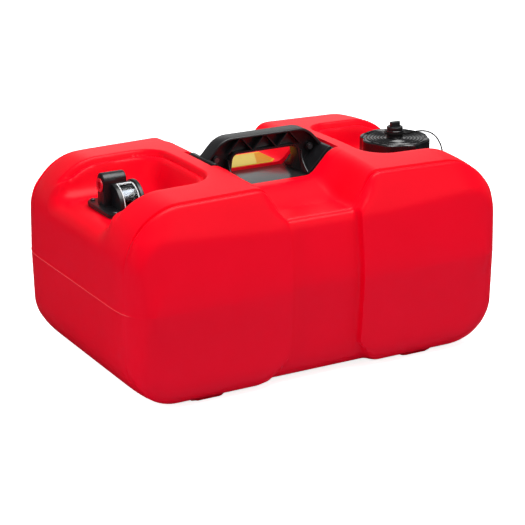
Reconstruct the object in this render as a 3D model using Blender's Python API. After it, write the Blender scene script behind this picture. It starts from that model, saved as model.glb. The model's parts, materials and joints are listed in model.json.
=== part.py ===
"""Portable outboard fuel tank: blow-moulded shell, carrying handle, withdrawal head with a float
gauge, and a vented filler cap on a tether.

Units are metres, +Z is up. The origin is the middle of the resting face. +X is the filler end,
-X is the gauge end, -Y is the near long side.
"""
import math

import bmesh
import bpy

# Driving dimensions: whole tank
tank_length = 0.620
tank_width = 0.395
plateau_height = 0.299
wall = 0.005
clearance = 0.0003
cut_overrun = 0.020

# Driving dimensions: end blocks
plateau_crown = 0.006
plateau_half_width = 0.160
rim_step_run = 0.0008
rim_step_drop = 0.0025
bead_run = 0.007
bead_drop = 0.005
crease_inset = 0.011
crease_drop = 0.0565
parting_height = 0.151
parting_band = 0.006
plan_corner_radius = 0.049
end_draft = 0.0036
top_end_radius = 0.085
bottom_end_radius = 0.078
crease_end_radius = 0.050
lower_side_inset = 0.009
lower_side_height = 0.050
bottom_side_radius = 0.034
foot_height = 0.0045
foot_length = 0.058
foot_width = 0.060
foot_end_gap = 0.0224
foot_edge_radius = 0.012

# Driving dimensions: saddle between the blocks
ridge_half_length = 0.0585
ridge_foot_half_length = 0.094
ridge_foot_height = 0.050
valley_top_half_length = 0.094
valley_edge_half_length = 0.0885
centre_recess = 0.012
centre_lift = 0.002
floor_drop = 0.031
floor_edge_drop = 0.050
floor_flat_half_width = 0.055
floor_shelf_half_width = 0.125
floor_edge_half_width = 0.165
floor_bead_run = 0.007
floor_bead_drop = 0.0063
valley_fillet = 0.006

# Driving dimensions: pockets in the blocks
pocket_depth = 0.0515
pocket_land = 0.032
pocket_half_width = 0.100
pocket_draft = 0.012
pocket_corner_radius = 0.022
pocket_ledge_depth = 0.006
pocket_ledge_width = 0.003

# Driving dimensions: handle
handle_rise = 0.033
grip_depth = 0.026
grip_width = 0.026
grip_top_half_length = 0.071
grip_corner_radius = 0.020
handle_foot_reach = 0.0075
handle_foot_width = 0.072
handle_rim = 0.003
handle_lap = 0.0004
handle_web = 0.003
handle_rib = 0.0016
handle_rib_pairs = 3
leg_corner_radius = 0.008
seat_depth = 0.0073
seat_reach = 0.012
seat_side_gap = 0.007
strap_thickness = 0.003
handle_pin_radius = 0.0022
handle_pin_head_radius = 0.0040
handle_pin_head_thickness = 0.0012
handle_pin_boss_radius = 0.0060
handle_pin_boss_width = 0.014

# Driving dimensions: blank label on the saddle floor
label_length = 0.104
label_width = 0.050
label_point = 0.016
label_thickness = 0.0006
label_gap = 0.006

# Driving dimensions: withdrawal head and gauge
opening_radius = 0.021
flange_length = 0.094
flange_width = 0.054
flange_thickness = 0.005
flange_corner_radius = 0.015
gasket_thickness = 0.0015
spigot_depth = 0.012
barrel_y = 0.010
barrel_radius = 0.0116
barrel_front = 0.0173
barrel_length = 0.036
barrel_height = 0.0470
port_height = 0.0295
port_bore_radius = 0.0050
port_mouth_radius = 0.0085
port_mouth_depth = 0.007
down_bore_radius = 0.0025
housing_radius = 0.031
housing_back_radius = 0.033
housing_back_thickness = 0.0066
chamber_near_x = 0.0008
chamber_length = 0.0259
chamber_floor = 0.0015
lens_axis_y = -0.001
lens_axis_height = 0.001
lens_radius = 0.0302
lens_thickness = 0.0025
drum_axis_y = -0.003
drum_axis_height = 0.0078
drum_radius = 0.018
drum_shell = 0.0014
drum_side = 0.0014
drum_sector_start = 10.0
drum_sector_angle = 120.0
shaft_radius = 0.0015
shaft_seat_depth = 0.003
hub_radius = 0.0032
drum_crank_radius = 0.012
arm_crank_radius = 0.0065
arm_crank_rest = 47.5
crank_pin_radius = 0.0010
link_thickness = 0.0014
link_half_width = 0.0018
link_slack = 0.0004
link_eye_wall = 0.001
screw_radius = 0.0018
screw_head_radius = 0.0038
screw_head_height = 0.0022
screw_spacing_x = 0.035
screw_spacing_y = 0.076

# Driving dimensions: float mechanism and pickup
float_pivot_height = 0.130
float_arm_length = 0.115
float_arm_radius = 0.0013
float_radius = 0.014
float_length = 0.044
float_stand_off = 0.0041
arm_boss_length = 0.004
arm_boss_radius = 0.0042
bracket_thickness = 0.0016
bracket_half_width = 0.006
bracket_seat_depth = 0.006
bracket_foot_drop = 0.016
pivot_pin_radius = 0.0015
pivot_head_radius = 0.0030
pivot_head_thickness = 0.0010
pickup_x_offset = -0.0100
pickup_radius = 0.0032
pickup_bore_radius = 0.0022
pickup_seat_depth = 0.007
strainer_radius = 0.008
strainer_height = 0.026
strainer_floor = 0.002
strainer_stand_off = 0.004
strainer_overlap = 0.010

# Driving dimensions: outlet plug
plug_flange_radius = 0.0100
plug_flange_thickness = 0.0022
plug_recess_radius = 0.0055
plug_recess_depth = 0.0060

# Driving dimensions: filler neck and cap
neck_radius = 0.0465
neck_wall = 0.004
neck_height = 0.0375
cap_radius = 0.0545
cap_lobe_depth = 0.0016
cap_lobes = 8
cap_height = 0.031
cap_skirt_wall = 0.003
cap_top_thickness = 0.003
cap_edge_bevel = 0.003
liner_thickness = 0.002
cap_gasket_thickness = 0.0016
vent_hole_radius = 0.0025
vent_pitch = 0.00125
vent_turns = 2.0
collar_radius = 0.0137
collar_waist_radius = 0.0122
collar_height = 0.0112
collar_rib_height = 0.0022
vent_flange_radius = 0.0123
vent_flange_height = 0.0050
wing_length = 0.0177
wing_width = 0.0080
wing_height = 0.0072
vent_stem_radius = 0.0030
vent_tip_radius = 0.0016
seal_radius = 0.0068
seal_thickness = 0.0022
tether_ring_radius = 0.0165
tether_ring_height = 0.0024
tether_ring_lobe = 0.0050
tether_radius = 0.0011
tether_end_x = 0.0440
tether_end_y = -0.0700
tether_rise = 0.0090
anchor_radius = 0.0050
anchor_height = 0.0060
anchor_stem_radius = 0.0020
anchor_stem_length = 0.0030

# Shares of the sizes above
fillet_share = 0.48
gauge_place_share = 0.5858
cap_place_share = 0.56213
plate_start_share = 0.8
strainer_slot_share = 0.75
tether_lead_share = 0.45
tether_arch_share = 1.6
anchor_tip_share = 1.2
knob_rim_share = 0.9
knob_rim_level_shares = (0.3, 0.8)
wing_top_shares = (0.9, 0.8)

# Mesh fineness
corner_steps = 4
fine_steps = 3
round_steps = 32
cap_steps = 64
tether_points = 20
smooth_angle = 35.0

# Values worked out from the driving dimensions
half_length = tank_length / 2
half_width = tank_width / 2
handle_top_height = plateau_height + handle_rise
crease_height = plateau_height - crease_drop
floor_height = plateau_height - floor_drop
floor_edge_height = plateau_height - floor_edge_drop
pocket_floor_height = plateau_height - pocket_depth
pocket_inner_x = valley_top_half_length + pocket_land
pocket_floor_inner_x = pocket_inner_x + pocket_ledge_width + pocket_draft
pocket_floor_length = half_length - pocket_floor_inner_x
gauge_x = -(pocket_floor_inner_x + pocket_floor_length * gauge_place_share)
cap_x = pocket_floor_inner_x + pocket_floor_length * cap_place_share
foot_centre_x = half_length - end_draft - bottom_end_radius - foot_end_gap - foot_length / 2
head_seat = pocket_floor_height + gasket_thickness + 2 * clearance
flange_top = head_seat + flange_thickness
lens_z = flange_top + lens_axis_height
axis_z = flange_top + drum_axis_height
arm_crank_angle = math.radians(arm_crank_rest)
drum_crank_angle = math.asin(math.sin(arm_crank_angle) * arm_crank_radius / drum_crank_radius)
drum_pin_y = drum_axis_y - drum_crank_radius * math.cos(drum_crank_angle)
float_pivot_y = drum_pin_y + arm_crank_radius * math.cos(arm_crank_angle)
pin_drift = arm_crank_radius * (1 - math.cos(arm_crank_angle)) \
    - drum_crank_radius * (1 - math.cos(drum_crank_angle))
link_x = gauge_x + chamber_near_x + 2 * clearance
arm_x = link_x + link_thickness + clearance
chamber_x = gauge_x + chamber_near_x
barrel_x = gauge_x - barrel_front
cap_top = pocket_floor_height + neck_height + cap_gasket_thickness + liner_thickness \
    + cap_top_thickness + 4 * clearance
seat_half_width = handle_foot_width / 2 + seat_side_gap


def material(name, colour, roughness, metallic=0.0, alpha=1.0):
    """A plain Principled material."""
    result = bpy.data.materials.new(name)
    result.use_nodes = True
    shader = result.node_tree.nodes["Principled BSDF"]
    shader.inputs["Base Color"].default_value = (*colour, 1.0)
    shader.inputs["Roughness"].default_value = roughness
    shader.inputs["Metallic"].default_value = metallic
    shader.inputs["Alpha"].default_value = alpha
    return result


def finish_object(name, mesh_data, look, parent=None, origin=(0.0, 0.0, 0.0)):
    """Make a mesh object whose origin is at the given point, with smooth round faces."""
    if origin != (0.0, 0.0, 0.0):
        for vertex in mesh_data.vertices:
            vertex.co = [vertex.co[i] - origin[i] for i in range(3)]
    result = bpy.data.objects.new(name, mesh_data)
    bpy.context.scene.collection.objects.link(result)
    result.location = origin
    mesh_data.materials.clear()
    mesh_data.materials.append(look)
    mesh_data.shade_smooth()
    mesh_data.set_sharp_from_angle(angle=math.radians(smooth_angle))
    if parent is not None:
        result.parent = parent
        bpy.context.view_layer.update()
        result.matrix_parent_inverse = parent.matrix_world.inverted()
    return result


def mesh_from(bm, name):
    """Turn a bmesh with outward faces into mesh data."""
    bmesh.ops.recalc_face_normals(bm, faces=bm.faces)
    data = bpy.data.meshes.new(name)
    bm.to_mesh(data)
    bm.free()
    return data


def loft(rings, name="loft"):
    """Join rings of points with the same count, and cap both ends."""
    bm = bmesh.new()
    rows = [[bm.verts.new(point) for point in ring] for ring in rings]
    count = len(rows[0])
    for row, following in zip(rows, rows[1:]):
        for i in range(count):
            j = (i + 1) % count
            bm.faces.new((row[i], row[j], following[j], following[i]))
    bm.faces.new(rows[0][::-1])
    bm.faces.new(rows[-1])
    return mesh_from(bm, name)


def rounded(corners, steps=corner_steps):
    """Turn (x, y, radius) corners into an outline; a zero radius keeps the corner as one point."""
    points = []
    count = len(corners)
    for i, (x, y, radius) in enumerate(corners):
        before, after = corners[i - 1], corners[(i + 1) % count]
        if radius <= 0.0:
            points.append((x, y))
            continue
        ax, ay = before[0] - x, before[1] - y
        bx, by = after[0] - x, after[1] - y
        la, lb = math.hypot(ax, ay), math.hypot(bx, by)
        ax, ay, bx, by = ax / la, ay / la, bx / lb, by / lb
        half = math.acos(max(-1.0, min(1.0, ax * bx + ay * by))) / 2
        reach = min(radius / math.tan(half), la * fillet_share, lb * fillet_share)
        for k in range(steps + 1):
            t = k / steps
            here, there, middle = (1 - t) ** 2, t ** 2, 2 * t * (1 - t) * math.sin(half)
            total = here + middle + there
            points.append((x + reach * (here * ax + there * bx) / total,
                           y + reach * (here * ay + there * by) / total))
    return points


def mirrored(corners):
    """Complete an outline whose first half runs from the middle line to the middle line."""
    return corners + [(-x, y, radius) for x, y, radius in reversed(corners)]


def prism(points, axis, start, end, name="prism"):
    """Extrude a 2-D outline along X, Y or Z; the outline is in the other two, in XYZ order."""
    place = {"X": lambda p, h: (h, p[0], p[1]),
             "Y": lambda p, h: (p[0], h, p[1]),
             "Z": lambda p, h: (p[0], p[1], h)}[axis]
    return loft([[place(p, h) for p in points] for h in (start, end)], name)


def box(low, high, name="box"):
    """A block between two corners."""
    outline = [(low[0], low[1]), (high[0], low[1]), (high[0], high[1]), (low[0], high[1])]
    return prism(outline, "Z", low[2], high[2], name)


def circle(cx, cy, radius, steps=round_steps):
    """Points of a circle."""
    return [(cx + radius * math.cos(2 * math.pi * i / steps),
             cy + radius * math.sin(2 * math.pi * i / steps)) for i in range(steps)]


def rod(axis, centre, radius, start, end, steps=round_steps, name="rod"):
    """A round bar along an axis, centred on the other two coordinates."""
    return prism(circle(centre[0], centre[1], radius, steps), axis, start, end, name)


def turned(profile, cx, cy, steps=round_steps, name="turned"):
    """Revolve a closed (radius, z) profile about a vertical axis; it keeps clear of the axis."""
    bm = bmesh.new()
    rows = [[bm.verts.new((cx + r * math.cos(2 * math.pi * i / steps),
                           cy + r * math.sin(2 * math.pi * i / steps), z)) for r, z in profile]
            for i in range(steps)]
    count = len(profile)
    for i in range(steps):
        row, following = rows[i], rows[(i + 1) % steps]
        for k in range(count):
            m = (k + 1) % count
            bm.faces.new((row[k], row[m], following[m], following[k]))
    return mesh_from(bm, name)


def ring(cx, cy, inner, outer, low, high, steps=round_steps, name="ring"):
    """A flat-sided ring about a vertical axis."""
    return turned([(inner, low), (outer, low), (outer, high), (inner, high)], cx, cy, steps, name)


def combine(base, tools, operation):
    """Boolean a mesh with other meshes, one after the other, and give the result."""
    body = bpy.data.objects.new("body", base)
    bpy.context.scene.collection.objects.link(body)
    cutters = []
    for tool in tools:
        cutter = bpy.data.objects.new("cutter", tool)
        bpy.context.scene.collection.objects.link(cutter)
        modifier = body.modifiers.new("join", "BOOLEAN")
        modifier.operation = operation
        modifier.solver = "EXACT"
        modifier.object = cutter
        cutters.append(cutter)
    bpy.context.view_layer.update()
    graph = bpy.context.evaluated_depsgraph_get()
    result = bpy.data.meshes.new_from_object(body.evaluated_get(graph))
    for thing in (body, *cutters):
        bpy.data.objects.remove(thing, do_unlink=True)
    return result


def union(base, *tools):
    """Join meshes."""
    return combine(base, tools, "UNION")


def cut(base, *tools):
    """Take meshes away from a mesh."""
    return combine(base, tools, "DIFFERENCE")


def smooth_step(t):
    """Ease from 0 to 1."""
    t = max(0.0, min(1.0, t))
    return t * t * (3 - 2 * t)


def floor_stations():
    """(y, z) of the saddle floor's section, from its flat middle to its shelf."""
    run, drop = floor_shelf_half_width - floor_flat_half_width, floor_height - floor_edge_height
    shares = [k / corner_steps for k in range(corner_steps + 1)]
    return [(floor_flat_half_width + run * t, floor_height - drop * smooth_step(t))
            for t in shares]


def floor_z(y):
    """Height of the saddle floor at a distance from the middle plane, straight between stations."""
    stations = floor_stations()
    for (y0, z0), (y1, z1) in zip(stations, stations[1:]):
        if y0 <= abs(y) <= y1:
            return z0 + (z1 - z0) * (abs(y) - y0) / (y1 - y0)
    return floor_height if abs(y) <= floor_flat_half_width else floor_edge_height


def crown_z(y):
    """Height of the block's top at a distance from the middle plane."""
    return plateau_height + plateau_crown * max(0.0, 1 - (y / plateau_half_width) ** 2)


def plan_end_x(y):
    """How far the block reaches along X, after its plan corner."""
    past = max(0.0, abs(y) - (half_width - plan_corner_radius))
    past = min(past, plan_corner_radius)
    return half_length - plan_corner_radius + math.sqrt(plan_corner_radius ** 2 - past ** 2)


def block_stations():
    """(y, top z, bottom z, 0 to 1 towards the crease) from the middle plane to the side."""
    crease_y = half_width - crease_inset
    lower_y = half_width - lower_side_inset
    bottom_y = lower_y - bottom_side_radius
    bead_y = plateau_half_width + rim_step_run + bead_run
    bead_z = plateau_height - rim_step_drop - bead_drop
    halfway_y = (bead_y + crease_y) / 2
    tops = [(0.0, crown_z(0.0)), (plateau_half_width / 2, crown_z(plateau_half_width / 2)),
            (bottom_y, crown_z(bottom_y)), (plateau_half_width, plateau_height),
            (plateau_half_width + rim_step_run, plateau_height - rim_step_drop),
            (bead_y, bead_z), (halfway_y, (bead_z + crease_height) / 2), (crease_y, crease_height),
            (lower_y, None), (half_width, parting_height + parting_band / 2)]
    stations = []
    for y, top in sorted(tops, key=lambda item: item[0]):
        if top is None:
            share = (y - crease_y) / (half_width - crease_y)
            top = crease_height + (parting_height + parting_band / 2 - crease_height) * share
        if y <= lower_y:
            t = max(0.0, min(1.0, (y - bottom_y) / bottom_side_radius))
            low = foot_height + (lower_side_height - foot_height) * (1 - math.sqrt(1 - t * t))
        else:
            share = (y - lower_y) / (half_width - lower_y)
            low = lower_side_height \
                + (parting_height - parting_band / 2 - lower_side_height) * share
        towards = max(0.0, min(1.0, (y - plateau_half_width) / (crease_y - plateau_half_width)))
        stations.append((y, top, low, towards))
    return stations


def block_outline(y, top, low, towards, thickness, end):
    """X-Z outline of an end block at one station, moved in by a wall thickness."""
    middle_top = parting_height + parting_band / 2
    middle_low = parting_height - parting_band / 2
    top, low = max(top - thickness, middle_top), min(low + thickness, middle_low)
    reach = plan_end_x(y) - thickness
    radius_top = top_end_radius + (crease_end_radius - top_end_radius) * towards - thickness
    radius_low = bottom_end_radius + (crease_end_radius - bottom_end_radius) * towards - thickness
    drop = parting_band / 4
    inner = ridge_half_length + thickness
    valley = min(floor_z(y) - thickness, top - drop) if top > crease_height else top - drop
    valley_top = valley_top_half_length \
        + (valley_edge_half_length - valley_top_half_length) * (y / plateau_half_width) ** 2
    full_rise = plateau_height + plateau_crown - floor_height
    rise = min(1.0, (top - valley) / full_rise)
    valley_x = inner + (valley_top - ridge_half_length) * rise
    flare = max(0.0, 1 - (low - foot_height) / (ridge_foot_height - foot_height))
    foot_x = inner + (ridge_foot_half_length - ridge_half_length) * flare
    flare_z = max(low + drop, min(ridge_foot_height, valley - drop))
    corners = [(foot_x, low, valley_fillet), (reach - end_draft, low, radius_low),
               (reach, parting_height, 0.0), (reach - end_draft, top, radius_top),
               (valley_x, top, valley_fillet), (inner, valley, 0.0), (inner, flare_z, 0.0)]
    return [(end * x, z) for x, z in rounded(corners)]


def block(end, thickness):
    """One end block, lofted along Y through its stations; end is +1 or -1."""
    half = [(y - thickness if y > 0.0 else y, block_outline(y, top, low, share, thickness, end))
            for y, top, low, share in block_stations()]
    rings = [[(x, -y, z) for x, z in outline] for y, outline in reversed(half)]
    rings += [[(x, y, z) for x, z in outline] for y, outline in half[1:]]
    return loft(rings, "block")


def centre(thickness):
    """The recessed middle section, extruded along X into both blocks."""
    side = half_width - centre_recess - thickness
    lower = side - lower_side_inset
    edge = floor_edge_half_width - thickness
    low = foot_height + centre_lift + thickness
    half = [(0.0, floor_height - thickness)]
    half += [(y, z - thickness) for y, z in floor_stations()]
    half += [(edge, floor_edge_height - thickness),
             (edge + floor_bead_run, floor_edge_height - floor_bead_drop - thickness),
             (side, parting_height), (lower, lower_side_height)]
    for k in range(1, corner_steps + 1):
        angle = math.pi / 2 * k / corner_steps
        half.append((lower - bottom_side_radius * (1 - math.cos(angle)),
                     lower_side_height - (lower_side_height - low) * math.sin(angle)))
    outline = half + [(-y, z) for y, z in reversed(half) if y > 0.0]
    reach = ridge_foot_half_length + 2 * wall
    return prism(outline, "X", -reach, reach, "centre")


def pocket(end, grow):
    """The space of one pocket, open towards the end; grow moves its faces out by the wall."""
    rings = []
    rim_z = plateau_height + plateau_crown + cut_overrun
    ledge_z = crown_z(pocket_half_width) - pocket_ledge_depth
    bottom_z = pocket_floor_height - grow
    levels = [(rim_z, 0.0), (ledge_z, 0.0), (ledge_z, pocket_ledge_width),
              (bottom_z, pocket_ledge_width + pocket_draft)]
    for z, narrow in levels:
        half = pocket_half_width - narrow + grow
        inner = pocket_inner_x + narrow - grow
        outer = half_length + cut_overrun
        corners = [(outer, half, 0.0), (inner, half, pocket_corner_radius),
                   (inner, -half, pocket_corner_radius), (outer, -half, 0.0)]
        rings.append([(end * x, y, z) for x, y in rounded(corners)])
    return loft(rings, "pocket")


def valley_path(depth, reach):
    """The saddle's section at the handle, moved down into the plastic, left to right."""
    slope = math.atan2(crown_z(0.0) - floor_height, valley_top_half_length - ridge_half_length)
    shift = depth * math.tan(slope / 2)
    half = [(ridge_half_length + shift, floor_height - depth),
            (valley_top_half_length + shift, crown_z(0.0) - depth),
            (valley_top_half_length + reach, crown_z(0.0) - depth)]
    return [(-x, z) for x, z in reversed(half)] + half


def tank_shell():
    """The hollow shell: outside solid less its pockets, less the cavity, plus neck and feet."""
    sky = plateau_height + plateau_crown + cut_overrun
    seat = valley_path(seat_depth, seat_reach)
    seat_outline = seat + [(seat[-1][0], sky), (seat[0][0], sky)]
    seat_space = prism(seat_outline, "Y", -seat_half_width, seat_half_width)
    outside = union(centre(0.0), block(1, 0.0), block(-1, 0.0))
    outside = cut(outside, pocket(1, 0.0), pocket(-1, 0.0))
    feet = []
    for side_x in (-1, 1):
        for side_y in (-1, 1):
            x0 = side_x * foot_centre_x
            edge = half_width - lower_side_inset - bottom_side_radius
            y0 = side_y * (edge - foot_width / 2)
            low_corners = [(x0 + sx * foot_length / 2, y0 + sy * foot_width / 2,
                            foot_edge_radius) for sx, sy in ((1, 1), (-1, 1), (-1, -1), (1, -1))]
            feet.append(prism(rounded(low_corners), "Z", 0.0, foot_height + wall / 2))
    neck_top = pocket_floor_height + neck_height
    neck = rod("Z", (cap_x, 0.0), neck_radius, pocket_floor_height - wall / 2, neck_top)
    outside = union(outside, neck, *feet)
    buried = valley_path(seat_depth + wall, seat_reach + wall)
    buried_outline = buried + [(buried[-1][0], sky), (buried[0][0], sky)]
    buried_space = prism(buried_outline, "Y", -seat_half_width - wall, seat_half_width + wall)
    inside = union(centre(wall), block(1, wall), block(-1, wall))
    inside = cut(inside, pocket(1, wall), pocket(-1, wall), buried_space)
    neck_bore = rod("Z", (cap_x, 0.0), neck_radius - neck_wall,
                    pocket_floor_height - 2 * wall, neck_top + cut_overrun)
    opening = rod("Z", (gauge_x, 0.0), opening_radius,
                  pocket_floor_height - 2 * wall, pocket_floor_height + cut_overrun)
    inside = union(inside, neck_bore, opening)
    drills = [rod("Z", (x, y), screw_radius + clearance, screw_tip(), pocket_floor_height
                  + cut_overrun, fine_steps * 4) for x, y in screw_places()]
    ax, ay = anchor_place()
    drills.append(rod("Z", (ax, ay), anchor_stem_radius + clearance,
                      pocket_floor_height - anchor_stem_length - clearance,
                      pocket_floor_height + cut_overrun, fine_steps * 4))
    return cut(outside, inside, *drills, seat_space)


def screw_places():
    """Centres of the four flange screws."""
    return [(gauge_x + sx * screw_spacing_x / 2, sy * screw_spacing_y / 2)
            for sx in (-1, 1) for sy in (-1, 1)]


def screw_tip():
    """Height of a hole's bottom for the flange screws, inside the tank's wall."""
    return pocket_floor_height - wall + clearance * 2


def anchor_place():
    """Centre of the tether's anchor on the pocket floor."""
    return cap_x + tether_end_x, tether_end_y


def handle_sole(lift=0.0):
    """Toe, knee and end of the right foot's underside, just above the seat strap."""
    depth = seat_depth - strap_thickness - 2 * clearance - lift
    return valley_path(depth, handle_foot_reach - lift)[-3:]


def sole_rise():
    """Height of the foot's plastic above the slope, measured straight up."""
    (toe_x, toe_z), (knee_x, knee_z), _ = handle_sole()
    return handle_rim * math.hypot(knee_x - toe_x, knee_z - toe_z) / (knee_x - toe_x)


def handle_outlines():
    """X-Z outlines of the handle and of the recess in each of its sides."""
    (toe_x, toe_z), (knee_x, knee_z), (foot_x, foot_z) = handle_sole(handle_lap)
    under, rim = handle_top_height - grip_depth, handle_rim
    climb = rim * (knee_z - toe_z) / (knee_x - toe_x)
    outer = [(toe_x, under, leg_corner_radius), (toe_x, toe_z, 0.0), (knee_x, knee_z, 0.0),
             (foot_x, foot_z, 0.0), (foot_x - rim, foot_z + rim, 0.0),
             (grip_top_half_length, handle_top_height, grip_corner_radius)]
    inner = [(toe_x + rim, under + rim, leg_corner_radius + rim),
             (toe_x + rim, toe_z + climb + sole_rise(), 0.0),
             (knee_x - rim, knee_z - climb + sole_rise(), 0.0),
             (grip_top_half_length - rim / 2, handle_top_height - rim, grip_corner_radius - rim)]
    return [rounded(mirrored(half)) for half in (outer, inner)]


def handle_grip():
    """Arch with recessed ribbed sides, flared legs and wide feet."""
    outer, inner = handle_outlines()
    body = prism(outer, "Y", -grip_width / 2, grip_width / 2)
    recess = [prism(inner, "Y", side * handle_web / 2, side * (grip_width / 2 + cut_overrun))
              for side in (-1, 1)]
    body = cut(body, *recess)
    under = handle_top_height - grip_depth
    top = handle_top_height
    (toe, toe_z), (knee, knee_z), (foot, foot_z) = handle_sole()
    reach = grip_top_half_length - grip_corner_radius / 2
    zigzag = [(reach * (k / handle_rib_pairs - 1),
               top - handle_rim / 2 if k % 2 else under + handle_rim / 2)
              for k in range(2 * handle_rib_pairs + 1)]
    ribs = [(x - handle_rib / 2, z) for x, z in zigzag] \
        + [(x + handle_rib / 2, z) for x, z in reversed(zigzag)]
    additions = [prism(ribs, "Y", handle_rib - grip_width / 2, grip_width / 2 - handle_rib)]
    for side in (-1, 1):
        toe_x, knee_x, foot_x = toe * side, knee * side, foot * side
        sole = [(toe_x, toe_z), (knee_x, knee_z), (foot_x, foot_z),
                (foot_x - side * handle_rim, foot_z + handle_rim),
                (knee_x - side * handle_rim / 2, knee_z + handle_rim),
                (toe_x, toe_z + sole_rise())]
        additions.append(prism(sole, "Y", -handle_foot_width / 2, handle_foot_width / 2))
        rings = []
        plate_low = toe_z + sole_rise() * plate_start_share
        plate_high = under - leg_corner_radius
        for k in range(corner_steps):
            share = k / (corner_steps - 1)
            z = plate_low + (plate_high - plate_low) * share
            half = (grip_width + (handle_foot_width - grip_width) * (1 - share) ** 2) / 2 \
                - handle_lap
            face, back = toe_x + side * handle_lap / 2, toe_x + side * (handle_rim - handle_lap)
            rings.append([(face, -half, z), (back, -half, z), (back, half, z), (face, half, z)])
        additions.append(loft(rings))
        px, pz = handle_pin_place(side)
        additions.append(rod("Y", (px, pz), handle_pin_boss_radius, -handle_pin_boss_width / 2,
                             handle_pin_boss_width / 2, round_steps // 2))
    body = union(body, *additions)
    holes = [rod("Y", handle_pin_place(side), handle_pin_radius + clearance, -cut_overrun,
                 cut_overrun, round_steps // 2) for side in (-1, 1)]
    return cut(body, *holes)


def handle_pin_place(side):
    """Centre of a leg's pin, in X and Z."""
    under = handle_top_height - grip_depth
    x = side * (ridge_half_length + valley_top_half_length) / 2
    return x + side * handle_rim, under - handle_pin_boss_radius


def handle_pin(side):
    """Headed pin through the boss of one leg."""
    place = handle_pin_place(side)
    half = handle_pin_boss_width / 2 + clearance
    head_end = half + handle_pin_head_thickness
    shank_end = half + handle_pin_head_thickness / 2
    shank = rod("Y", place, handle_pin_radius, -shank_end, shank_end, round_steps // 2)
    heads = [rod("Y", place, handle_pin_head_radius, s * half, s * head_end, round_steps // 2)
             for s in (-1, 1)]
    return union(shank, *heads)


def handle_base():
    """Seat strap in the saddle's recess, under the handle's feet."""
    lower = valley_path(seat_depth - clearance, seat_reach - clearance)
    upper = valley_path(seat_depth - clearance - strap_thickness, seat_reach - clearance)
    half = seat_half_width - clearance
    return prism(lower + upper[::-1], "Y", -half, half)


def label_patch():
    """Blank six-sided sticker on the floor behind the handle."""
    near = seat_half_width + label_gap
    far = near + label_width
    stations = [near, near + label_point, far]
    stations += [y for y, z in floor_stations() if near < y < far]
    rings = []
    for y in sorted(stations):
        half = label_length / 2 - max(0.0, near + label_point - y)
        low = floor_z(y) + clearance
        high = low + label_thickness
        rings.append([(-half, y, low), (half, y, low), (half, y, high), (-half, y, high)])
    return loft(rings)


def gauge_body():
    """Withdrawal head: flange, spigot, outlet barrel and drum housing."""
    half_w, half_l = flange_width / 2, flange_length / 2
    corners = [(gauge_x + sx * half_w, sy * half_l, flange_corner_radius)
               for sx, sy in ((1, 1), (-1, 1), (-1, -1), (1, -1))]
    body = prism(rounded(corners), "Z", head_seat, flange_top)
    base = flange_top - flange_thickness / 2
    spigot_end = head_seat - spigot_depth
    spigot = rod("Z", (gauge_x, 0.0), opening_radius - clearance * 2, spigot_end, base)
    back_x = chamber_x + chamber_length
    barrel = prism(arch(barrel_y, flange_top + barrel_height - barrel_radius, barrel_radius, base),
                   "X", barrel_x, barrel_x + barrel_length)
    cheek = prism(arch(lens_axis_y, lens_z, housing_radius, base), "X",
                  chamber_x - housing_back_thickness, back_x + housing_back_thickness / 2)
    back = prism(arch(lens_axis_y, lens_z, housing_back_radius, base), "X", back_x,
                 back_x + housing_back_thickness)
    body = union(body, spigot, barrel, cheek, back)
    return cut(body, *gauge_body_spaces(back_x, spigot_end))


def gauge_body_spaces(back_x, spigot_end):
    """What is cut out of the withdrawal head."""
    room = lens_radius - lens_thickness - clearance
    chamber = prism(arch(lens_axis_y, lens_z, room, head_seat + chamber_floor), "X",
                    chamber_x, back_x)
    window = box((chamber_x, -housing_back_radius - cut_overrun, lens_z - clearance),
                 (back_x, lens_axis_y + clearance, lens_z + housing_back_radius + cut_overrun))
    slot_reach = link_half_width + clearance * 2
    slot = box((chamber_x, drum_axis_y - drum_crank_radius - slot_reach, spigot_end - cut_overrun),
               (chamber_x + slot_width(), drum_pin_y + slot_reach, axis_z))
    shaft_hole = rod("X", (drum_axis_y, axis_z), shaft_radius + clearance,
                     chamber_x - shaft_seat_depth, back_x + shaft_seat_depth, round_steps // 2)
    port = (barrel_y, flange_top + port_height)
    mouth = rod("X", port, port_mouth_radius, barrel_x - cut_overrun,
                barrel_x + port_mouth_depth)
    pickup = (gauge_x + pickup_x_offset, barrel_y)
    bore = rod("X", port, port_bore_radius, barrel_x - cut_overrun,
               pickup[0] + down_bore_radius, round_steps // 2)
    down = rod("Z", pickup, down_bore_radius, spigot_end - cut_overrun,
               flange_top + port_height, round_steps // 2)
    socket = rod("Z", pickup, pickup_radius + clearance, spigot_end - cut_overrun,
                 spigot_end + pickup_seat_depth, round_steps // 2)
    plates = [bracket_plate_space(x) for x in bracket_plates()]
    holes = [rod("Z", place, screw_radius + clearance, head_seat - cut_overrun,
                 flange_top + cut_overrun, fine_steps * 4) for place in screw_places()]
    return [chamber, window, slot, shaft_hole, mouth, bore, down, socket, *plates, *holes]


def arch(centre_y, centre_z, radius, base):
    """Y-Z outline of a half-round over straight sides that stand on a base."""
    outline = [(centre_y - radius, base), (centre_y + radius, base)]
    return outline + [(centre_y + radius * math.cos(math.pi * k / round_steps),
                       centre_z + radius * math.sin(math.pi * k / round_steps))
                      for k in range(round_steps + 1)]


def slot_width():
    """Room along X for the link and the crank beside it."""
    return link_thickness + drum_side + clearance * 5


def bracket_plates():
    """X positions of the float bracket's two plates."""
    left = link_x - link_half_width - bracket_thickness
    right = arm_x + arm_boss_length + clearance * 2
    return left, right


def bracket_plate_space(x):
    """The slot in the spigot that holds one plate of the bracket."""
    base = head_seat - spigot_depth
    reach = bracket_half_width + clearance
    return box((x - clearance, float_pivot_y - reach, base - cut_overrun),
               (x + bracket_thickness + clearance, float_pivot_y + reach,
                base + bracket_seat_depth))


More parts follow.
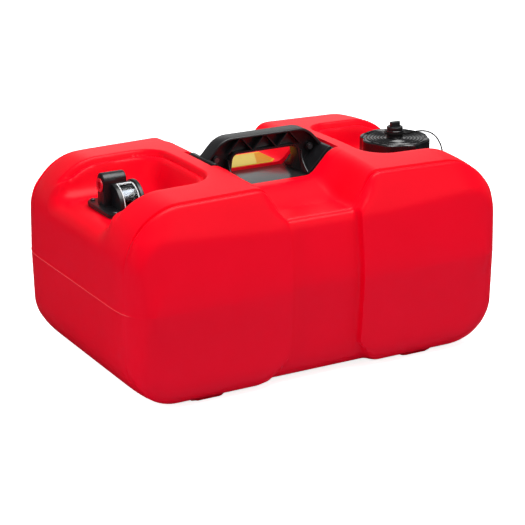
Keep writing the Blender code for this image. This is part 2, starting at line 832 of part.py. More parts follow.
def float_bracket():
    """Two plates from the spigot to the float's pivot, joined by a foot below it."""
    high = head_seat - spigot_depth + bracket_seat_depth - clearance
    low = float_pivot_height - bracket_foot_drop
    near, far = float_pivot_y - bracket_half_width, float_pivot_y + bracket_half_width
    left, right = bracket_plates()
    right_end = right + bracket_thickness
    plates = [(left, low), (right_end, low), (right_end, high), (right, high),
              (right, low + bracket_thickness), (left + bracket_thickness, low + bracket_thickness),
              (left + bracket_thickness, high), (left, high)]
    hole = rod("X", (float_pivot_y, float_pivot_height), pivot_pin_radius + clearance,
               left - cut_overrun, right + cut_overrun, round_steps // 2)
    return cut(prism(plates, "Y", near, far), hole)


def float_pin():
    """Headed pin through both plates."""
    left, right = bracket_plates()
    start, end = left - clearance, right + bracket_thickness + clearance
    centre_yz = (float_pivot_y, float_pivot_height)
    shank = rod("X", centre_yz, pivot_pin_radius, start - pivot_head_thickness / 2,
                end + pivot_head_thickness / 2, round_steps // 2)
    heads = [rod("X", centre_yz, pivot_head_radius, a, b, round_steps // 2)
             for a, b in ((start - pivot_head_thickness, start), (end, end + pivot_head_thickness))]
    return union(shank, *heads)


def crank(centre_yz, radius, angle, x):
    """Lever on the -Y side of a pivot, with a pin that reaches through the link."""
    cy, cz = centre_yz
    uy, uz = -math.cos(angle), math.sin(angle)
    pin = (cy + uy * radius, cz + uz * radius)
    wy, wz = -uz * link_half_width, uy * link_half_width
    bar = [(cy + wy, cz + wz), (pin[0] + wy, pin[1] + wz),
           (pin[0] - wy, pin[1] - wz), (cy - wy, cz - wz)]
    return [prism(bar, "X", x, x + drum_side),
            rod("X", pin, link_half_width, x, x + drum_side, round_steps // 2),
            rod("X", pin, crank_pin_radius, link_x - clearance, x + drum_side / 2,
                round_steps // 2)]


def rest_angle():
    """How far the float's arm points down when the float rests just above the tank's bottom."""
    end_x = abs(arm_x + arm_boss_length / 2 - float_length / 2)
    drop = float_pivot_height - float_radius - float_stand_off - bottom_z(end_x)
    return math.asin(drop / float_arm_length)


def float_arm():
    """Boss, crank and wire arm that ends at the float."""
    pivot = (float_pivot_y, float_pivot_height)
    arm_angle = rest_angle()
    boss = rod("X", pivot, arm_boss_radius, arm_x, arm_x + arm_boss_length, round_steps // 2)
    lever = crank(pivot, arm_crank_radius, arm_crank_angle, arm_x)
    tip = float_arm_length - float_radius - clearance
    steps = round_steps // 4
    rings = []
    for reach in (arm_boss_radius / 2, tip):
        cy = pivot[0] + math.cos(arm_angle) * reach
        cz = pivot[1] - math.sin(arm_angle) * reach
        turns = [2 * math.pi * k / steps for k in range(steps)]
        rings.append([(arm_x + arm_boss_length / 2 + float_arm_radius * math.cos(turn),
                       cy + float_arm_radius * math.sin(turn) * math.sin(arm_angle),
                       cz + float_arm_radius * math.sin(turn) * math.cos(arm_angle))
                      for turn in turns])
    hole = rod("X", pivot, pivot_pin_radius + clearance, arm_x - cut_overrun,
               arm_x + arm_boss_length + cut_overrun, round_steps // 2)
    return cut(union(boss, *lever, loft(rings)), hole)


def gauge_float():
    """Round float on the arm's end."""
    arm_angle = rest_angle()
    centre_yz = (float_pivot_y + math.cos(arm_angle) * float_arm_length,
                 float_pivot_height - math.sin(arm_angle) * float_arm_length)
    middle = arm_x + arm_boss_length / 2
    return rod("X", centre_yz, float_radius, middle - float_length / 2, middle + float_length / 2)


def gauge_link():
    """Flat rod between the two cranks; its lower eye is slotted for their unlike radii."""
    low = float_pivot_height + math.sin(arm_crank_angle) * arm_crank_radius
    high = axis_z + math.sin(drum_crank_angle) * drum_crank_radius
    y, end = drum_pin_y, link_x + link_thickness
    bar = box((link_x, y - link_half_width, low), (end, y + link_half_width, high))
    top = rod("X", (y, high), link_half_width, link_x, end, round_steps // 2)
    slack = crank_pin_radius + link_slack
    eye_reach = slack + link_eye_wall
    eye = box((link_x, y - pin_drift - eye_reach, low - eye_reach),
              (end, y + eye_reach, low + eye_reach))
    slot = box((link_x - cut_overrun, y - pin_drift - slack, low - slack),
               (end + cut_overrun, y + slack, low + slack))
    hole = rod("X", (y, high), crank_pin_radius + clearance, link_x - cut_overrun,
               end + cut_overrun, round_steps // 2)
    return cut(union(bar, top, eye), slot, hole)


def drum_arc(radius, order):
    """Points of the drum's sector at a radius, from its front end round over the top."""
    steps = round_steps // 2
    angles = [math.radians(drum_sector_start + drum_sector_angle * k / steps) for k in order]
    return [(drum_axis_y - radius * math.cos(a), axis_z + radius * math.sin(a)) for a in angles]


def gauge_drum():
    """Sector shell with its side web, hub and crank pin."""
    end = chamber_x + chamber_length - clearance * 2
    steps = round_steps // 2
    axis_yz = (drum_axis_y, axis_z)
    order = range(steps + 1)
    wedge = prism([axis_yz] + drum_arc(drum_radius, order), "X", arm_x, end)
    hollow = rod("X", axis_yz, drum_radius - drum_shell, arm_x + drum_side, end + cut_overrun)
    hub = rod("X", axis_yz, hub_radius, arm_x + drum_side / 2, end - clearance, steps)
    pin = rod("X", (drum_pin_y, axis_z + math.sin(drum_crank_angle) * drum_crank_radius),
              crank_pin_radius, link_x - clearance, arm_x + drum_side / 2, steps)
    hole = rod("X", axis_yz, shaft_radius + clearance, arm_x - cut_overrun,
               end + cut_overrun, steps)
    return cut(union(cut(wedge, hollow), hub, pin), hole)


def drum_shaft():
    """Shaft of the drum, seated in both cheeks."""
    return rod("X", (drum_axis_y, axis_z), shaft_radius,
               chamber_x - shaft_seat_depth + clearance,
               chamber_x + chamber_length + shaft_seat_depth - clearance, round_steps // 2)


def gauge_lens():
    """Quarter-round window from the housing's top to its front."""
    steps = round_steps // 2
    turns = [math.pi / 2 * k / steps for k in range(steps + 1)]
    outline = [(lens_axis_y - lens_radius * math.cos(t), lens_z + lens_radius * math.sin(t))
               for t in turns]
    thin = lens_radius - lens_thickness
    outline += [(lens_axis_y - thin * math.cos(t), lens_z + thin * math.sin(t))
                for t in reversed(turns)]
    return prism(outline, "X", chamber_x + clearance, chamber_x + chamber_length - clearance)


def gauge_gasket():
    """Gasket between the flange and the pocket floor."""
    margin = wall / 4
    half_w, half_l = flange_width / 2 - margin, flange_length / 2 - margin
    corners = [(gauge_x + sx * half_w, sy * half_l, flange_corner_radius - margin)
               for sx, sy in ((1, 1), (-1, 1), (-1, -1), (1, -1))]
    low = pocket_floor_height + clearance
    sheet = prism(rounded(corners), "Z", low, low + gasket_thickness)
    holes = [rod("Z", (gauge_x, 0.0), opening_radius, low - cut_overrun, low + cut_overrun)]
    holes += [rod("Z", place, screw_radius + clearance, low - cut_overrun, low + cut_overrun,
                  fine_steps * 4) for place in screw_places()]
    return cut(sheet, *holes)


def gauge_screw(x, y):
    """One pan-head screw of the flange."""
    seat = flange_top + clearance
    levels = [(screw_tip() + clearance, screw_radius), (seat, screw_radius),
              (seat, screw_head_radius), (seat + screw_head_height / 2, screw_head_radius),
              (seat + screw_head_height, screw_head_radius / 2)]
    return loft([[(px, py, z) for px, py in circle(x, y, r, fine_steps * 4)] for z, r in levels])


def outlet_plug():
    """Hollow plug pushed into the outlet's mouth."""
    centre_yz = (barrel_y, flange_top + port_height)
    face = barrel_x - clearance
    flange = rod("X", centre_yz, plug_flange_radius, face - plug_flange_thickness, face)
    stem = rod("X", centre_yz, port_mouth_radius - clearance, face - plug_flange_thickness / 2,
               barrel_x + port_mouth_depth - clearance * 2)
    recess = rod("X", centre_yz, plug_recess_radius, face - plug_flange_thickness - cut_overrun,
                 face - plug_flange_thickness + plug_recess_depth)
    return cut(union(flange, stem), recess)


def bottom_z(x):
    """Height of the tank's inside bottom at a distance from the middle, curved up to the end."""
    past = max(0.0, x - (half_length - end_draft - bottom_end_radius))
    return foot_height + wall + bottom_end_radius - math.sqrt(bottom_end_radius ** 2 - past ** 2)


def strainer_low():
    """Underside of the strainer, above the tank's bottom."""
    return bottom_z(abs(gauge_x + pickup_x_offset) + strainer_radius) + strainer_stand_off


def pickup_tube():
    """Tube from the spigot to the strainer."""
    low = strainer_low() + strainer_height - strainer_overlap
    high = head_seat - spigot_depth + pickup_seat_depth - clearance
    return ring(gauge_x + pickup_x_offset, barrel_y, pickup_bore_radius, pickup_radius, low, high,
                round_steps // 2)


def pickup_strainer():
    """Cup with slotted sides at the tube's end."""
    cx, cy = gauge_x + pickup_x_offset, barrel_y
    low = strainer_low()
    high = low + strainer_height
    body = rod("Z", (cx, cy), strainer_radius, low, high, round_steps // 2)
    hollow = rod("Z", (cx, cy), strainer_radius - strainer_floor, low + strainer_floor,
                 high - strainer_floor, round_steps // 2)
    mouth = rod("Z", (cx, cy), pickup_radius + clearance, low + strainer_floor * 2,
                high + cut_overrun, round_steps // 2)
    gap = strainer_floor * strainer_slot_share
    slot_low, slot_high = low + strainer_floor * 2, high - strainer_floor * 2
    slots = [box((cx - reach_x, cy - reach_y, slot_low), (cx + reach_x, cy + reach_y, slot_high))
             for reach_x, reach_y in ((cut_overrun, gap), (gap, cut_overrun))]
    return cut(body, hollow, mouth, *slots)


def cap_outline(radius):
    """Plan outline of the cap, with shallow grip lobes."""
    points = []
    for i in range(cap_steps):
        turn = 2 * math.pi * i / cap_steps
        reach = radius - cap_lobe_depth * (0.5 - 0.5 * math.cos(cap_lobes * turn))
        points.append((cap_x + reach * math.cos(turn), reach * math.sin(turn)))
    return points


def fuel_cap():
    """Cap shell with a lobed skirt and the vent bore."""
    low = cap_top - cap_height
    levels = [(low, cap_radius), (cap_top - cap_edge_bevel, cap_radius),
              (cap_top - cap_edge_bevel / 3, cap_radius - cap_edge_bevel / 3),
              (cap_top, cap_radius - cap_edge_bevel)]
    body = loft([[(x, y, z) for x, y in cap_outline(radius)] for z, radius in levels])
    hollow = rod("Z", (cap_x, 0.0), cap_radius - cap_lobe_depth - cap_skirt_wall,
                 low - cut_overrun, cap_top - cap_top_thickness)
    vent = rod("Z", (cap_x, 0.0), vent_hole_radius, low - cut_overrun, cap_top + cut_overrun,
               fine_steps * 4)
    return cut(body, hollow, vent)


def cap_liner():
    """Inner closure disc under the cap's top."""
    high = cap_top - cap_top_thickness - clearance
    return ring(cap_x, 0.0, vent_hole_radius, neck_radius, high - liner_thickness, high)


def cap_gasket():
    """Sealing ring between the liner and the neck's rim."""
    high = cap_top - cap_top_thickness - liner_thickness - clearance * 2
    return ring(cap_x, 0.0, neck_radius - neck_wall, neck_radius, high - cap_gasket_thickness,
                high)


def vent_collar():
    """Ribbed collar over the vent's seal, with a waist for the tether's ring."""
    low = cap_top + clearance
    high = low + collar_height
    waist_low, waist_high = ring_levels()
    room = seal_radius + clearance
    roof = low + seal_thickness + vent_pitch * vent_turns + 2 * clearance
    bore = vent_stem_radius + clearance
    profile = [(room, low), (collar_radius, low),
               (collar_radius, low + collar_rib_height),
               (collar_waist_radius, low + collar_rib_height),
               (collar_waist_radius, low + collar_rib_height * 1.5),
               (collar_radius, low + collar_rib_height * 1.5),
               (collar_radius, waist_low), (collar_waist_radius, waist_low),
               (collar_waist_radius, waist_high), (collar_radius, waist_high),
               (collar_radius, high), (bore, high), (bore, roof), (room, roof)]
    return turned(profile, cap_x, 0.0)


def ring_levels():
    """Heights of the collar's waist, which holds the tether's ring."""
    low = cap_top + clearance + collar_rib_height * 2.5
    return low, low + tether_ring_height + clearance * 2


def tether_ring():
    """Swivel ring in the collar's waist, with an ear that holds the strap."""
    waist_low, waist_high = ring_levels()
    low, high = waist_low + clearance, waist_high - clearance
    band = ring(cap_x, 0.0, collar_waist_radius + clearance, tether_ring_radius, low, high)
    ear_x, ear_y = tether_start()[:2]
    ear = rod("Z", (ear_x, ear_y), tether_ring_lobe / 2, low, high, round_steps // 2)
    inner = rod("Z", (cap_x, 0.0), collar_waist_radius + clearance, low - cut_overrun,
                high + cut_overrun)
    return union(band, cut(ear, inner))


def tether_start():
    """Where the strap leaves the ring."""
    waist_low, waist_high = ring_levels()
    heading = math.atan2(tether_end_y, tether_end_x)
    reach = tether_ring_radius + tether_ring_lobe / 4
    return (cap_x + reach * math.cos(heading), reach * math.sin(heading),
            (waist_low + waist_high) / 2)


def cap_tether():
    """Round strap that arches from the ring's ear to the anchor's head."""
    sx, sy, sz = tether_start()
    ex, ey = anchor_place()
    length = math.hypot(ex - sx, ey - sy)
    dx, dy = (ex - sx) / length, (ey - sy) / length
    leave = tether_ring_lobe / 2 + tether_radius + clearance
    top = pocket_floor_height + anchor_height + clearance * 2
    start_x, start_y = sx + dx * leave, sy + dy * leave
    lead, arch_z = length * tether_lead_share, sz + tether_rise * tether_arch_share
    handles = [(start_x, start_y, sz), (start_x + dx * lead, start_y + dy * lead, arch_z),
               (ex, ey, arch_z), (ex, ey, top)]
    points = []
    for k in range(tether_points + 1):
        t = k / tether_points
        weights = ((1 - t) ** 3, 3 * t * (1 - t) ** 2, 3 * t * t * (1 - t), t ** 3)
        points.append([sum(w * p[i] for w, p in zip(weights, handles)) for i in range(3)])
    return tube(points, tether_radius)


def tube(points, radius):
    """Closed round tube along points, its ends square to the first and last stretch."""
    curve = bpy.data.curves.new("tube", "CURVE")
    curve.dimensions = "3D"
    curve.bevel_depth = radius
    curve.bevel_resolution = 2
    curve.use_fill_caps = True
    spline = curve.splines.new("POLY")
    spline.points.add(len(points) - 1)
    for target, point in zip(spline.points, points):
        target.co = (*point, 1.0)
    holder = bpy.data.objects.new("tube", curve)
    bpy.context.scene.collection.objects.link(holder)
    bpy.context.view_layer.update()
    graph = bpy.context.evaluated_depsgraph_get()
    data = bpy.data.meshes.new_from_object(holder.evaluated_get(graph))
    bpy.data.objects.remove(holder, do_unlink=True)
    bm = bmesh.new()
    bm.from_mesh(data)
    bmesh.ops.remove_doubles(bm, verts=bm.verts, dist=radius / 100)
    return mesh_from(bm, "tube")


def tether_anchor():
    """Push-in button that holds the strap's end in the pocket floor."""
    ax, ay = anchor_place()
    low = pocket_floor_height + clearance
    high = pocket_floor_height + anchor_height
    levels = [(low - anchor_stem_length, anchor_stem_radius), (low, anchor_stem_radius),
              (low, anchor_radius), (low + anchor_height / 3, anchor_radius),
              (high, anchor_stem_radius * anchor_tip_share)]
    return loft([[(x, y, z) for x, y in circle(ax, ay, r, round_steps // 2)] for z, r in levels])


def vent_knob():
    """Wing knob: round flange, wing block and threaded stem."""
    low = cap_top + clearance * 2 + collar_height
    seal_low, seal_high = seal_levels()
    stem = rod("Z", (cap_x, 0.0), vent_stem_radius, seal_high + clearance,
               low + vent_flange_height / 2, round_steps // 2)
    tip = rod("Z", (cap_x, 0.0), vent_tip_radius, seal_low, seal_high + clearance * 2,
              fine_steps * 4)
    rim_low, rim_high = [low + vent_flange_height * share for share in knob_rim_level_shares]
    high = low + vent_flange_height
    narrow = vent_flange_radius * knob_rim_share
    levels = [(low, narrow), (rim_low, vent_flange_radius), (rim_high, vent_flange_radius),
              (high, narrow)]
    flange = loft([[(x, y, z) for x, y in circle(cap_x, 0.0, r)] for z, r in levels])
    wing_high = high + wing_height
    corners = [(cap_x + sx * wing_length / 2, sy * wing_width / 2, wing_width / 4)
               for sx, sy in ((1, 1), (-1, 1), (-1, -1), (1, -1))]
    outline = rounded(corners, fine_steps)
    top_x, top_y = wing_top_shares
    crest = [(cap_x + (x - cap_x) * top_x, y * top_y) for x, y in outline]
    wing = loft([[(x, y, rim_high) for x, y in outline],
                 [(x, y, wing_high - wing_width / 8) for x, y in outline],
                 [(x, y, wing_high) for x, y in crest]])
    return union(flange, wing, stem, tip)


def seal_levels():
    """Lower and upper face of the vent's seal, on the cap's top."""
    low = cap_top + clearance
    return low, low + seal_thickness


def vent_seal():
    """Seal washer on the stem's tip, over the vent hole."""
    low, high = seal_levels()
    return ring(cap_x, 0.0, vent_tip_radius + clearance, seal_radius, low, high)


def build():
    """Clear the scene and make every sub-part."""
    for old in list(bpy.data.objects):
        bpy.data.objects.remove(old, do_unlink=True)
    red = material("red polyethylene", (0.80, 0.012, 0.02), 0.35)
    black = material("black nylon", (0.012, 0.012, 0.014), 0.45)
    gloss = material("gloss black", (0.02, 0.022, 0.022), 0.18)
    rubber = material("nitrile rubber", (0.02, 0.02, 0.02), 0.8)
    steel = material("zinc steel", (0.55, 0.56, 0.57), 0.3, 1.0)
    brass = material("brass", (0.75, 0.56, 0.24), 0.3, 1.0)
    clear = material("clear acrylic", (0.9, 0.92, 0.92), 0.05, 0.0, 0.3)
    white = material("white acetal", (0.8, 0.8, 0.78), 0.4)
    foam = material("float foam", (0.10, 0.09, 0.08), 0.9)
    yellow = material("yellow label", (0.95, 0.75, 0.05), 0.4)
    strap = material("strap plastic", (0.015, 0.015, 0.015), 0.5)

    drum_axis = (arm_x, drum_axis_y, axis_z)
    arm_axis = (arm_x, float_pivot_y, float_pivot_height)
    cap_axis = (cap_x, 0.0, cap_top)
    link_axis = (link_x, drum_pin_y, axis_z + math.sin(drum_crank_angle) * drum_crank_radius)

    finish_object("tank_shell", tank_shell(), red)
    finish_object("handle_grip", handle_grip(), black)
    finish_object("handle_base", handle_base(), gloss)
    for name, side in (("handle_pin_left", -1), ("handle_pin_right", 1)):
        finish_object(name, handle_pin(side), steel)
    finish_object("label_patch", label_patch(), yellow)
    finish_object("gauge_body", gauge_body(), black)
    finish_object("gauge_gasket", gauge_gasket(), rubber)
    for k, (x, y) in enumerate(screw_places(), start=1):
        finish_object(f"gauge_screw_{k}", gauge_screw(x, y), steel)
    finish_object("gauge_lens", gauge_lens(), clear)
    drum = finish_object("gauge_drum", gauge_drum(), white, origin=drum_axis)
    finish_object("drum_shaft", drum_shaft(), steel)
    finish_object("gauge_link", gauge_link(), brass, drum, link_axis)
    finish_object("float_bracket", float_bracket(), steel)
    finish_object("float_pin", float_pin(), steel)
    arm = finish_object("float_arm", float_arm(), steel, origin=arm_axis)
    finish_object("gauge_float", gauge_float(), foam, arm, arm_axis)
    finish_object("pickup_tube", pickup_tube(), brass)
    finish_object("pickup_strainer", pickup_strainer(), white)
    finish_object("outlet_plug", outlet_plug(), red,
                  origin=(barrel_x, barrel_y, flange_top + port_height))
    swivel = finish_object("tether_ring", tether_ring(), strap, origin=cap_axis)
    cap = finish_object("fuel_cap", fuel_cap(), black, swivel, cap_axis)
    finish_object("cap_liner", cap_liner(), black, cap, cap_axis)
    finish_object("cap_gasket", cap_gasket(), rubber, cap, cap_axis)
    finish_object("vent_collar", vent_collar(), black, cap, cap_axis)
    seal = finish_object("vent_seal", vent_seal(), rubber, cap, cap_axis)
    finish_object("vent_knob", vent_knob(), black, seal, cap_axis)
    finish_object("cap_tether", cap_tether(), strap)
    finish_object("tether_anchor", tether_anchor(), strap)


build()
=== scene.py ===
# Outboard fuel tank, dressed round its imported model. Metres, +Z up.
import json
import math

import bmesh
import bpy
import numpy as np
from mathutils import Matrix, Vector


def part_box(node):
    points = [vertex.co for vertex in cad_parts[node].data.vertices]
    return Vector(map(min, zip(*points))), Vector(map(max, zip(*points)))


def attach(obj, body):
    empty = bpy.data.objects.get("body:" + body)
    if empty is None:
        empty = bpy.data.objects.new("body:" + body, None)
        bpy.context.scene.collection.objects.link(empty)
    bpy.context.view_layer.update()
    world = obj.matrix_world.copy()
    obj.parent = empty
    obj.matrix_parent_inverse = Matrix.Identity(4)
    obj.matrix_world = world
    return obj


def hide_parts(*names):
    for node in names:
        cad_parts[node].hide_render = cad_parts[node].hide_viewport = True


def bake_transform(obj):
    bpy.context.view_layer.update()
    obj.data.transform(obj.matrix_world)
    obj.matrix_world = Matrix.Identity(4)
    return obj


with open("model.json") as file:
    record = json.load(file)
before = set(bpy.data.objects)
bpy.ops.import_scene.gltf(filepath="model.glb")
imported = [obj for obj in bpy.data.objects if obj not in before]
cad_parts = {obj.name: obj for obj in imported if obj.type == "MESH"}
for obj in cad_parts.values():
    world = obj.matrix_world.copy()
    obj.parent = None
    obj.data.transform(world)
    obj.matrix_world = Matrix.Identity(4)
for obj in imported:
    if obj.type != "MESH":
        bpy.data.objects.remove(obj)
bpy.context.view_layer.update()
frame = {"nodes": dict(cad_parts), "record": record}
nodes = frame["nodes"]
bodies = frame["record"]["behaviour"]["bodies"]
looks = {}  # materials by name
weld = 1e-6  # points closer than this are merged
quarter = math.pi / 2

view = {
    "azimuth": -29.44,  # degrees round from looking along +Y
    "elevation": 18.67,
    "distance": 2.7412,
    "roll": -0.126,
    "lens": 124.4,
    "sensor": 36.0,
    "target": (0.0007, -0.0014, 0.1278),
}


def addObject(name, data):
    thing = bpy.data.objects.new(name, data)
    bpy.context.scene.collection.objects.link(thing)
    return thing


def placeCamera():
    # a camera on a sphere round its target, turned about its own line of sight by the roll
    turn, lift = math.radians(view["azimuth"]), math.radians(view["elevation"])
    level = math.cos(lift)
    back = Vector((math.sin(turn) * level, -math.cos(turn) * level, math.sin(lift)))
    data = bpy.data.cameras.new("camera")
    data.lens, data.sensor_width = view["lens"], view["sensor"]
    camera = addObject("camera", data)
    spot = Matrix.Translation(Vector(view["target"]) + back * view["distance"])
    aim = (-back).to_track_quat("-Z", "Y").to_matrix().to_4x4()
    camera.matrix_world = spot @ aim @ Matrix.Rotation(math.radians(view["roll"]), 4, "Z")
    bpy.context.scene.camera = camera


placeCamera()
print("camera placed")


def softMin(a, b, width):
    # the lower of two values, with a quadratic blend where they are closer than the width
    share = np.clip(0.5 + 0.5 * (b - a) / width, 0.0, 1.0)
    return b * (1 - share) + a * share - width * share * (1 - share)


def softMax(a, b, width):
    return -softMin(-a, -b, width)


def ease(t):
    # cubic ease from 0 to 1
    t = np.clip(t, 0.0, 1.0)
    return t * t * (3 - 2 * t)


def gridSolid(rings, wrap=False):
    # closed rings of points joined by quads; the first and last ring are capped or joined up
    rows, count = rings.shape[:2]
    index = np.arange(rows * count).reshape(rows, count)
    loop = np.vstack([index, index[:1]]) if wrap else index
    a, b = loop[:-1], loop[1:]
    faces = [*np.stack([a, np.roll(a, -1, 1), np.roll(b, -1, 1), b], axis=-1).reshape(-1, 4)]
    if not wrap:
        faces += [index[0][::-1], index[-1]]
    return rings.reshape(-1, 3), faces


def meshFrom(*parts):
    # arrays of points and faces put into one mesh, doubles merged and faces turned outwards
    points = np.concatenate([p for p, f in parts])
    starts = np.cumsum([0] + [len(p) for p, f in parts])
    faces = [(face + start).tolist() for start, (p, f) in zip(starts, parts) for face in f]
    mesh = bpy.data.meshes.new("shape")
    mesh.from_pydata(points.tolist(), [], faces)
    form = bmesh.new()
    form.from_mesh(mesh)
    bmesh.ops.remove_doubles(form, verts=form.verts, dist=weld)
    bmesh.ops.dissolve_degenerate(form, edges=form.edges, dist=weld)
    bmesh.ops.recalc_face_normals(form, faces=form.faces)
    form.to_mesh(mesh)
    form.free()
    return mesh


def asMesh(shape):
    return shape if isinstance(shape, bpy.types.Mesh) else meshFrom(shape)


def carve(base, tools, operation="UNION"):
    # exact union or difference of closed shapes, one after the other
    body, *things = [addObject("solid", asMesh(shape)) for shape in (base, *tools)]
    for thing in things:
        step = body.modifiers.new("step", "BOOLEAN")
        step.operation, step.solver, step.object = operation, "EXACT", thing
    bpy.context.view_layer.update()
    done = body.evaluated_get(bpy.context.evaluated_depsgraph_get())
    result = bpy.data.meshes.new_from_object(done)
    for thing in (body, *things):
        bpy.data.objects.remove(thing, do_unlink=True)
    return result


def addPiece(name, shape, body, look, stands=(), angle=32.0):
    # an object at the origin with its material, riding on a body and standing for its nodes
    mesh = asMesh(shape)
    piece = addObject(name, mesh)
    mesh.materials.clear()
    mesh.materials.append(looks[look])
    mesh.shade_smooth()
    mesh.set_sharp_from_angle(angle=math.radians(angle))
    if body is not None:
        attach(piece, body)
    if stands:
        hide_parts(*stands)
    return piece


def roundOutline(corners, steps=6):
    # straight sides joined by arcs: a rational quadratic from side to side of each corner
    table = np.array(corners, dtype=float)
    at, radius = table[:, :2], table[:, 2]
    before, after = np.roll(at, 1, 0) - at, np.roll(at, -1, 0) - at
    longBefore, longAfter = np.linalg.norm(before, axis=1), np.linalg.norm(after, axis=1)
    before, after = before / longBefore[:, None], after / longAfter[:, None]
    half = np.arccos(np.clip((before * after).sum(1), -1, 1)) / 2
    reach = np.minimum(radius / np.tan(half), 0.48 * np.minimum(longBefore, longAfter))[:, None]
    t = np.linspace(0, 1, steps + 1)[None, :, None]
    weight = np.sin(half)[:, None, None]
    a, b = (at + before * reach)[:, None], (at + after * reach)[:, None]
    near, mid, far = (1 - t) ** 2, 2 * t * (1 - t) * weight, t ** 2
    return ((near * a + mid * at[:, None] + far * b) / (near + mid + far)).reshape(-1, 2)


def crossed(a, b):
    return a[:, 0] * b[:, 1] - a[:, 1] * b[:, 0]


def shrink(outline, inset):
    # each point moves in along the bisector of its two sides, so both sides move by the inset
    side = np.roll(outline, -1, 0) - outline
    side /= np.maximum(np.linalg.norm(side, axis=1), 1e-12)[:, None]
    area = crossed(outline, np.roll(outline, -1, 0)).sum()
    normal = np.stack([-side[:, 1], side[:, 0]], 1) * np.sign(area)
    both = normal + np.roll(normal, 1, 0)
    both /= np.maximum((both * normal).sum(1), 0.4)[:, None]
    return outline + both * inset


def rounded(corners, inset=0.0, steps=6):
    # corners (place, radius) moved in by an inset, their arcs smaller outside and larger inside
    table = np.array(corners, dtype=float)
    at = table[:, :2]
    bend = crossed(at - np.roll(at, 1, 0), np.roll(at, -1, 0) - at)
    area = crossed(at, np.roll(at, -1, 0)).sum()
    radius = np.maximum(table[:, 2] - inset * np.sign(bend * area), 2e-5)
    return roundOutline(np.column_stack([shrink(at, inset), radius]), steps)


def lay(outline, height, axis):
    # a flat outline set at a height along X, Y or Z; its own two coordinates keep their order
    return np.insert(outline, axis, height, axis=1)


def slab(outline, low, high, edge, axis, steps=3):
    # an outline drawn out along an axis, both rims rounded by shrinking it on a quarter circle;
    # three numbers a row are corners with their radius, two are the finished outline
    outline = np.array(outline, dtype=float)
    narrow = rounded if outline.shape[1] == 3 else shrink
    turn = np.linspace(0, quarter, steps + 1)
    inset, rise = edge * (1 - np.sin(turn)), edge * (1 - np.cos(turn))
    stations = [*zip(low + rise, inset), *zip((high - rise)[::-1], inset[::-1])]
    return gridSolid(np.stack([lay(narrow(outline, i), level, axis) for level, i in stations]))


def boxCorners(centre, halves, radius):
    return [(centre[0] + a * halves[0], centre[1] + b * halves[1], radius)
            for a, b in ((1, 1), (-1, 1), (-1, -1), (1, -1))]


def block(low, high):
    corners = [(low[0], low[1]), (high[0], low[1]), (high[0], high[1]), (low[0], high[1])]
    return gridSolid(np.stack([lay(np.array(corners), h, 2) for h in (low[2], high[2])]))


def arc(centre, radius, start, end, steps):
    # points on a circle from one angle to another
    turn = np.linspace(start, end, steps + 1)
    return np.stack([centre[0] + radius * np.cos(turn), centre[1] + radius * np.sin(turn)], 1)


def circle(centre, radius, steps=48):
    return arc(centre, radius, 0, 2 * np.pi, steps)[:-1]


def arch(centre, radius, base, steps=40):
    # half a circle over straight sides that stand on a base
    sides = [(centre[0] - radius, base), (centre[0] + radius, base)]
    return np.concatenate([sides, arc(centre, radius, 0, np.pi, steps)])


def rod(axis, centre, radius, start, end, edge=0.0004, steps=48):
    return slab(circle(centre, radius, steps), start, end, edge, axis)


def turned(profile, axis, centre, steps=64, lobes=None):
    # a closed profile of (radius, height) carried round an axis; lobes may take from each radius
    profile = np.array(profile, dtype=float)
    turn = np.linspace(0, 2 * np.pi, steps, endpoint=False)[:, None]
    reach = np.repeat(profile[:, 0][None], steps, 0)
    if lobes is not None:
        reach = reach - lobes(turn, profile[None, :, 0])
    sides = [centre[0] + reach * np.cos(turn), centre[1] + reach * np.sin(turn)]
    sides.insert(axis, np.repeat(profile[:, 1][None], steps, 0))
    return gridSolid(np.stack(sides, -1), wrap=True)


def feed(socket, value):
    # an input takes another node's output or a plain value; colours are given as three numbers
    if isinstance(value, bpy.types.NodeSocket):
        socket.id_data.links.new(value, socket)
    else:
        socket.default_value = (*value, 1.0) if socket.type == "RGBA" else value


def addNode(tree, kind, *values, **settings):
    # a node of a tree with its own settings, and its inputs fed by name or in order
    node = tree.nodes.new(kind)
    for key, value in settings.items():
        if key in node.inputs:
            feed(node.inputs[key], value)
        else:
            setattr(node, key, value)
    for socket, value in zip(node.inputs, values):
        feed(socket, value)
    return node


def treeOf(values):
    return next(v.id_data for v in values if isinstance(v, bpy.types.NodeSocket))


def derive(kind, *values, **settings):
    # the result of a node made in the tree of the outputs that it is given
    tree = treeOf((*values, *settings.values()))
    return addNode(tree, "ShaderNode" + kind, *values, **settings).outputs[0]


def reckon(operation, *values):
    return derive("Math", *values, operation=operation)


def mixed(share, first, second, **settings):
    # two colours mixed by a share; they are the mix node's seventh and eighth inputs
    tree = treeOf((share, first, second))
    node = addNode(tree, "ShaderNodeMix", share, data_type="RGBA", **settings)
    feed(node.inputs[6], first)
    feed(node.inputs[7], second)
    return node.outputs[2]


def axes(place):
    return addNode(place.id_data, "ShaderNodeSeparateXYZ", place).outputs


def makeGroup(name, numbers):
    # a shared effect: a place, two colours and numbers in; a colour, a roughness and a normal out
    group = bpy.data.node_groups.new(name, "ShaderNodeTree")
    for label, kind, way in (
            ("Place", "Vector", "INPUT"), ("Colour", "Color", "INPUT"),
            ("Second colour", "Color", "INPUT"), ("Colour", "Color", "OUTPUT"),
            ("Roughness", "Float", "OUTPUT"), ("Normal", "Vector", "OUTPUT")):
        group.interface.new_socket(label, in_out=way, socket_type="NodeSocket" + kind)
    for label, value in numbers.items():
        socket = group.interface.new_socket(label, in_out="INPUT", socket_type="NodeSocketFloat")
        socket.default_value = value
    return group, group.nodes.new("NodeGroupInput").outputs


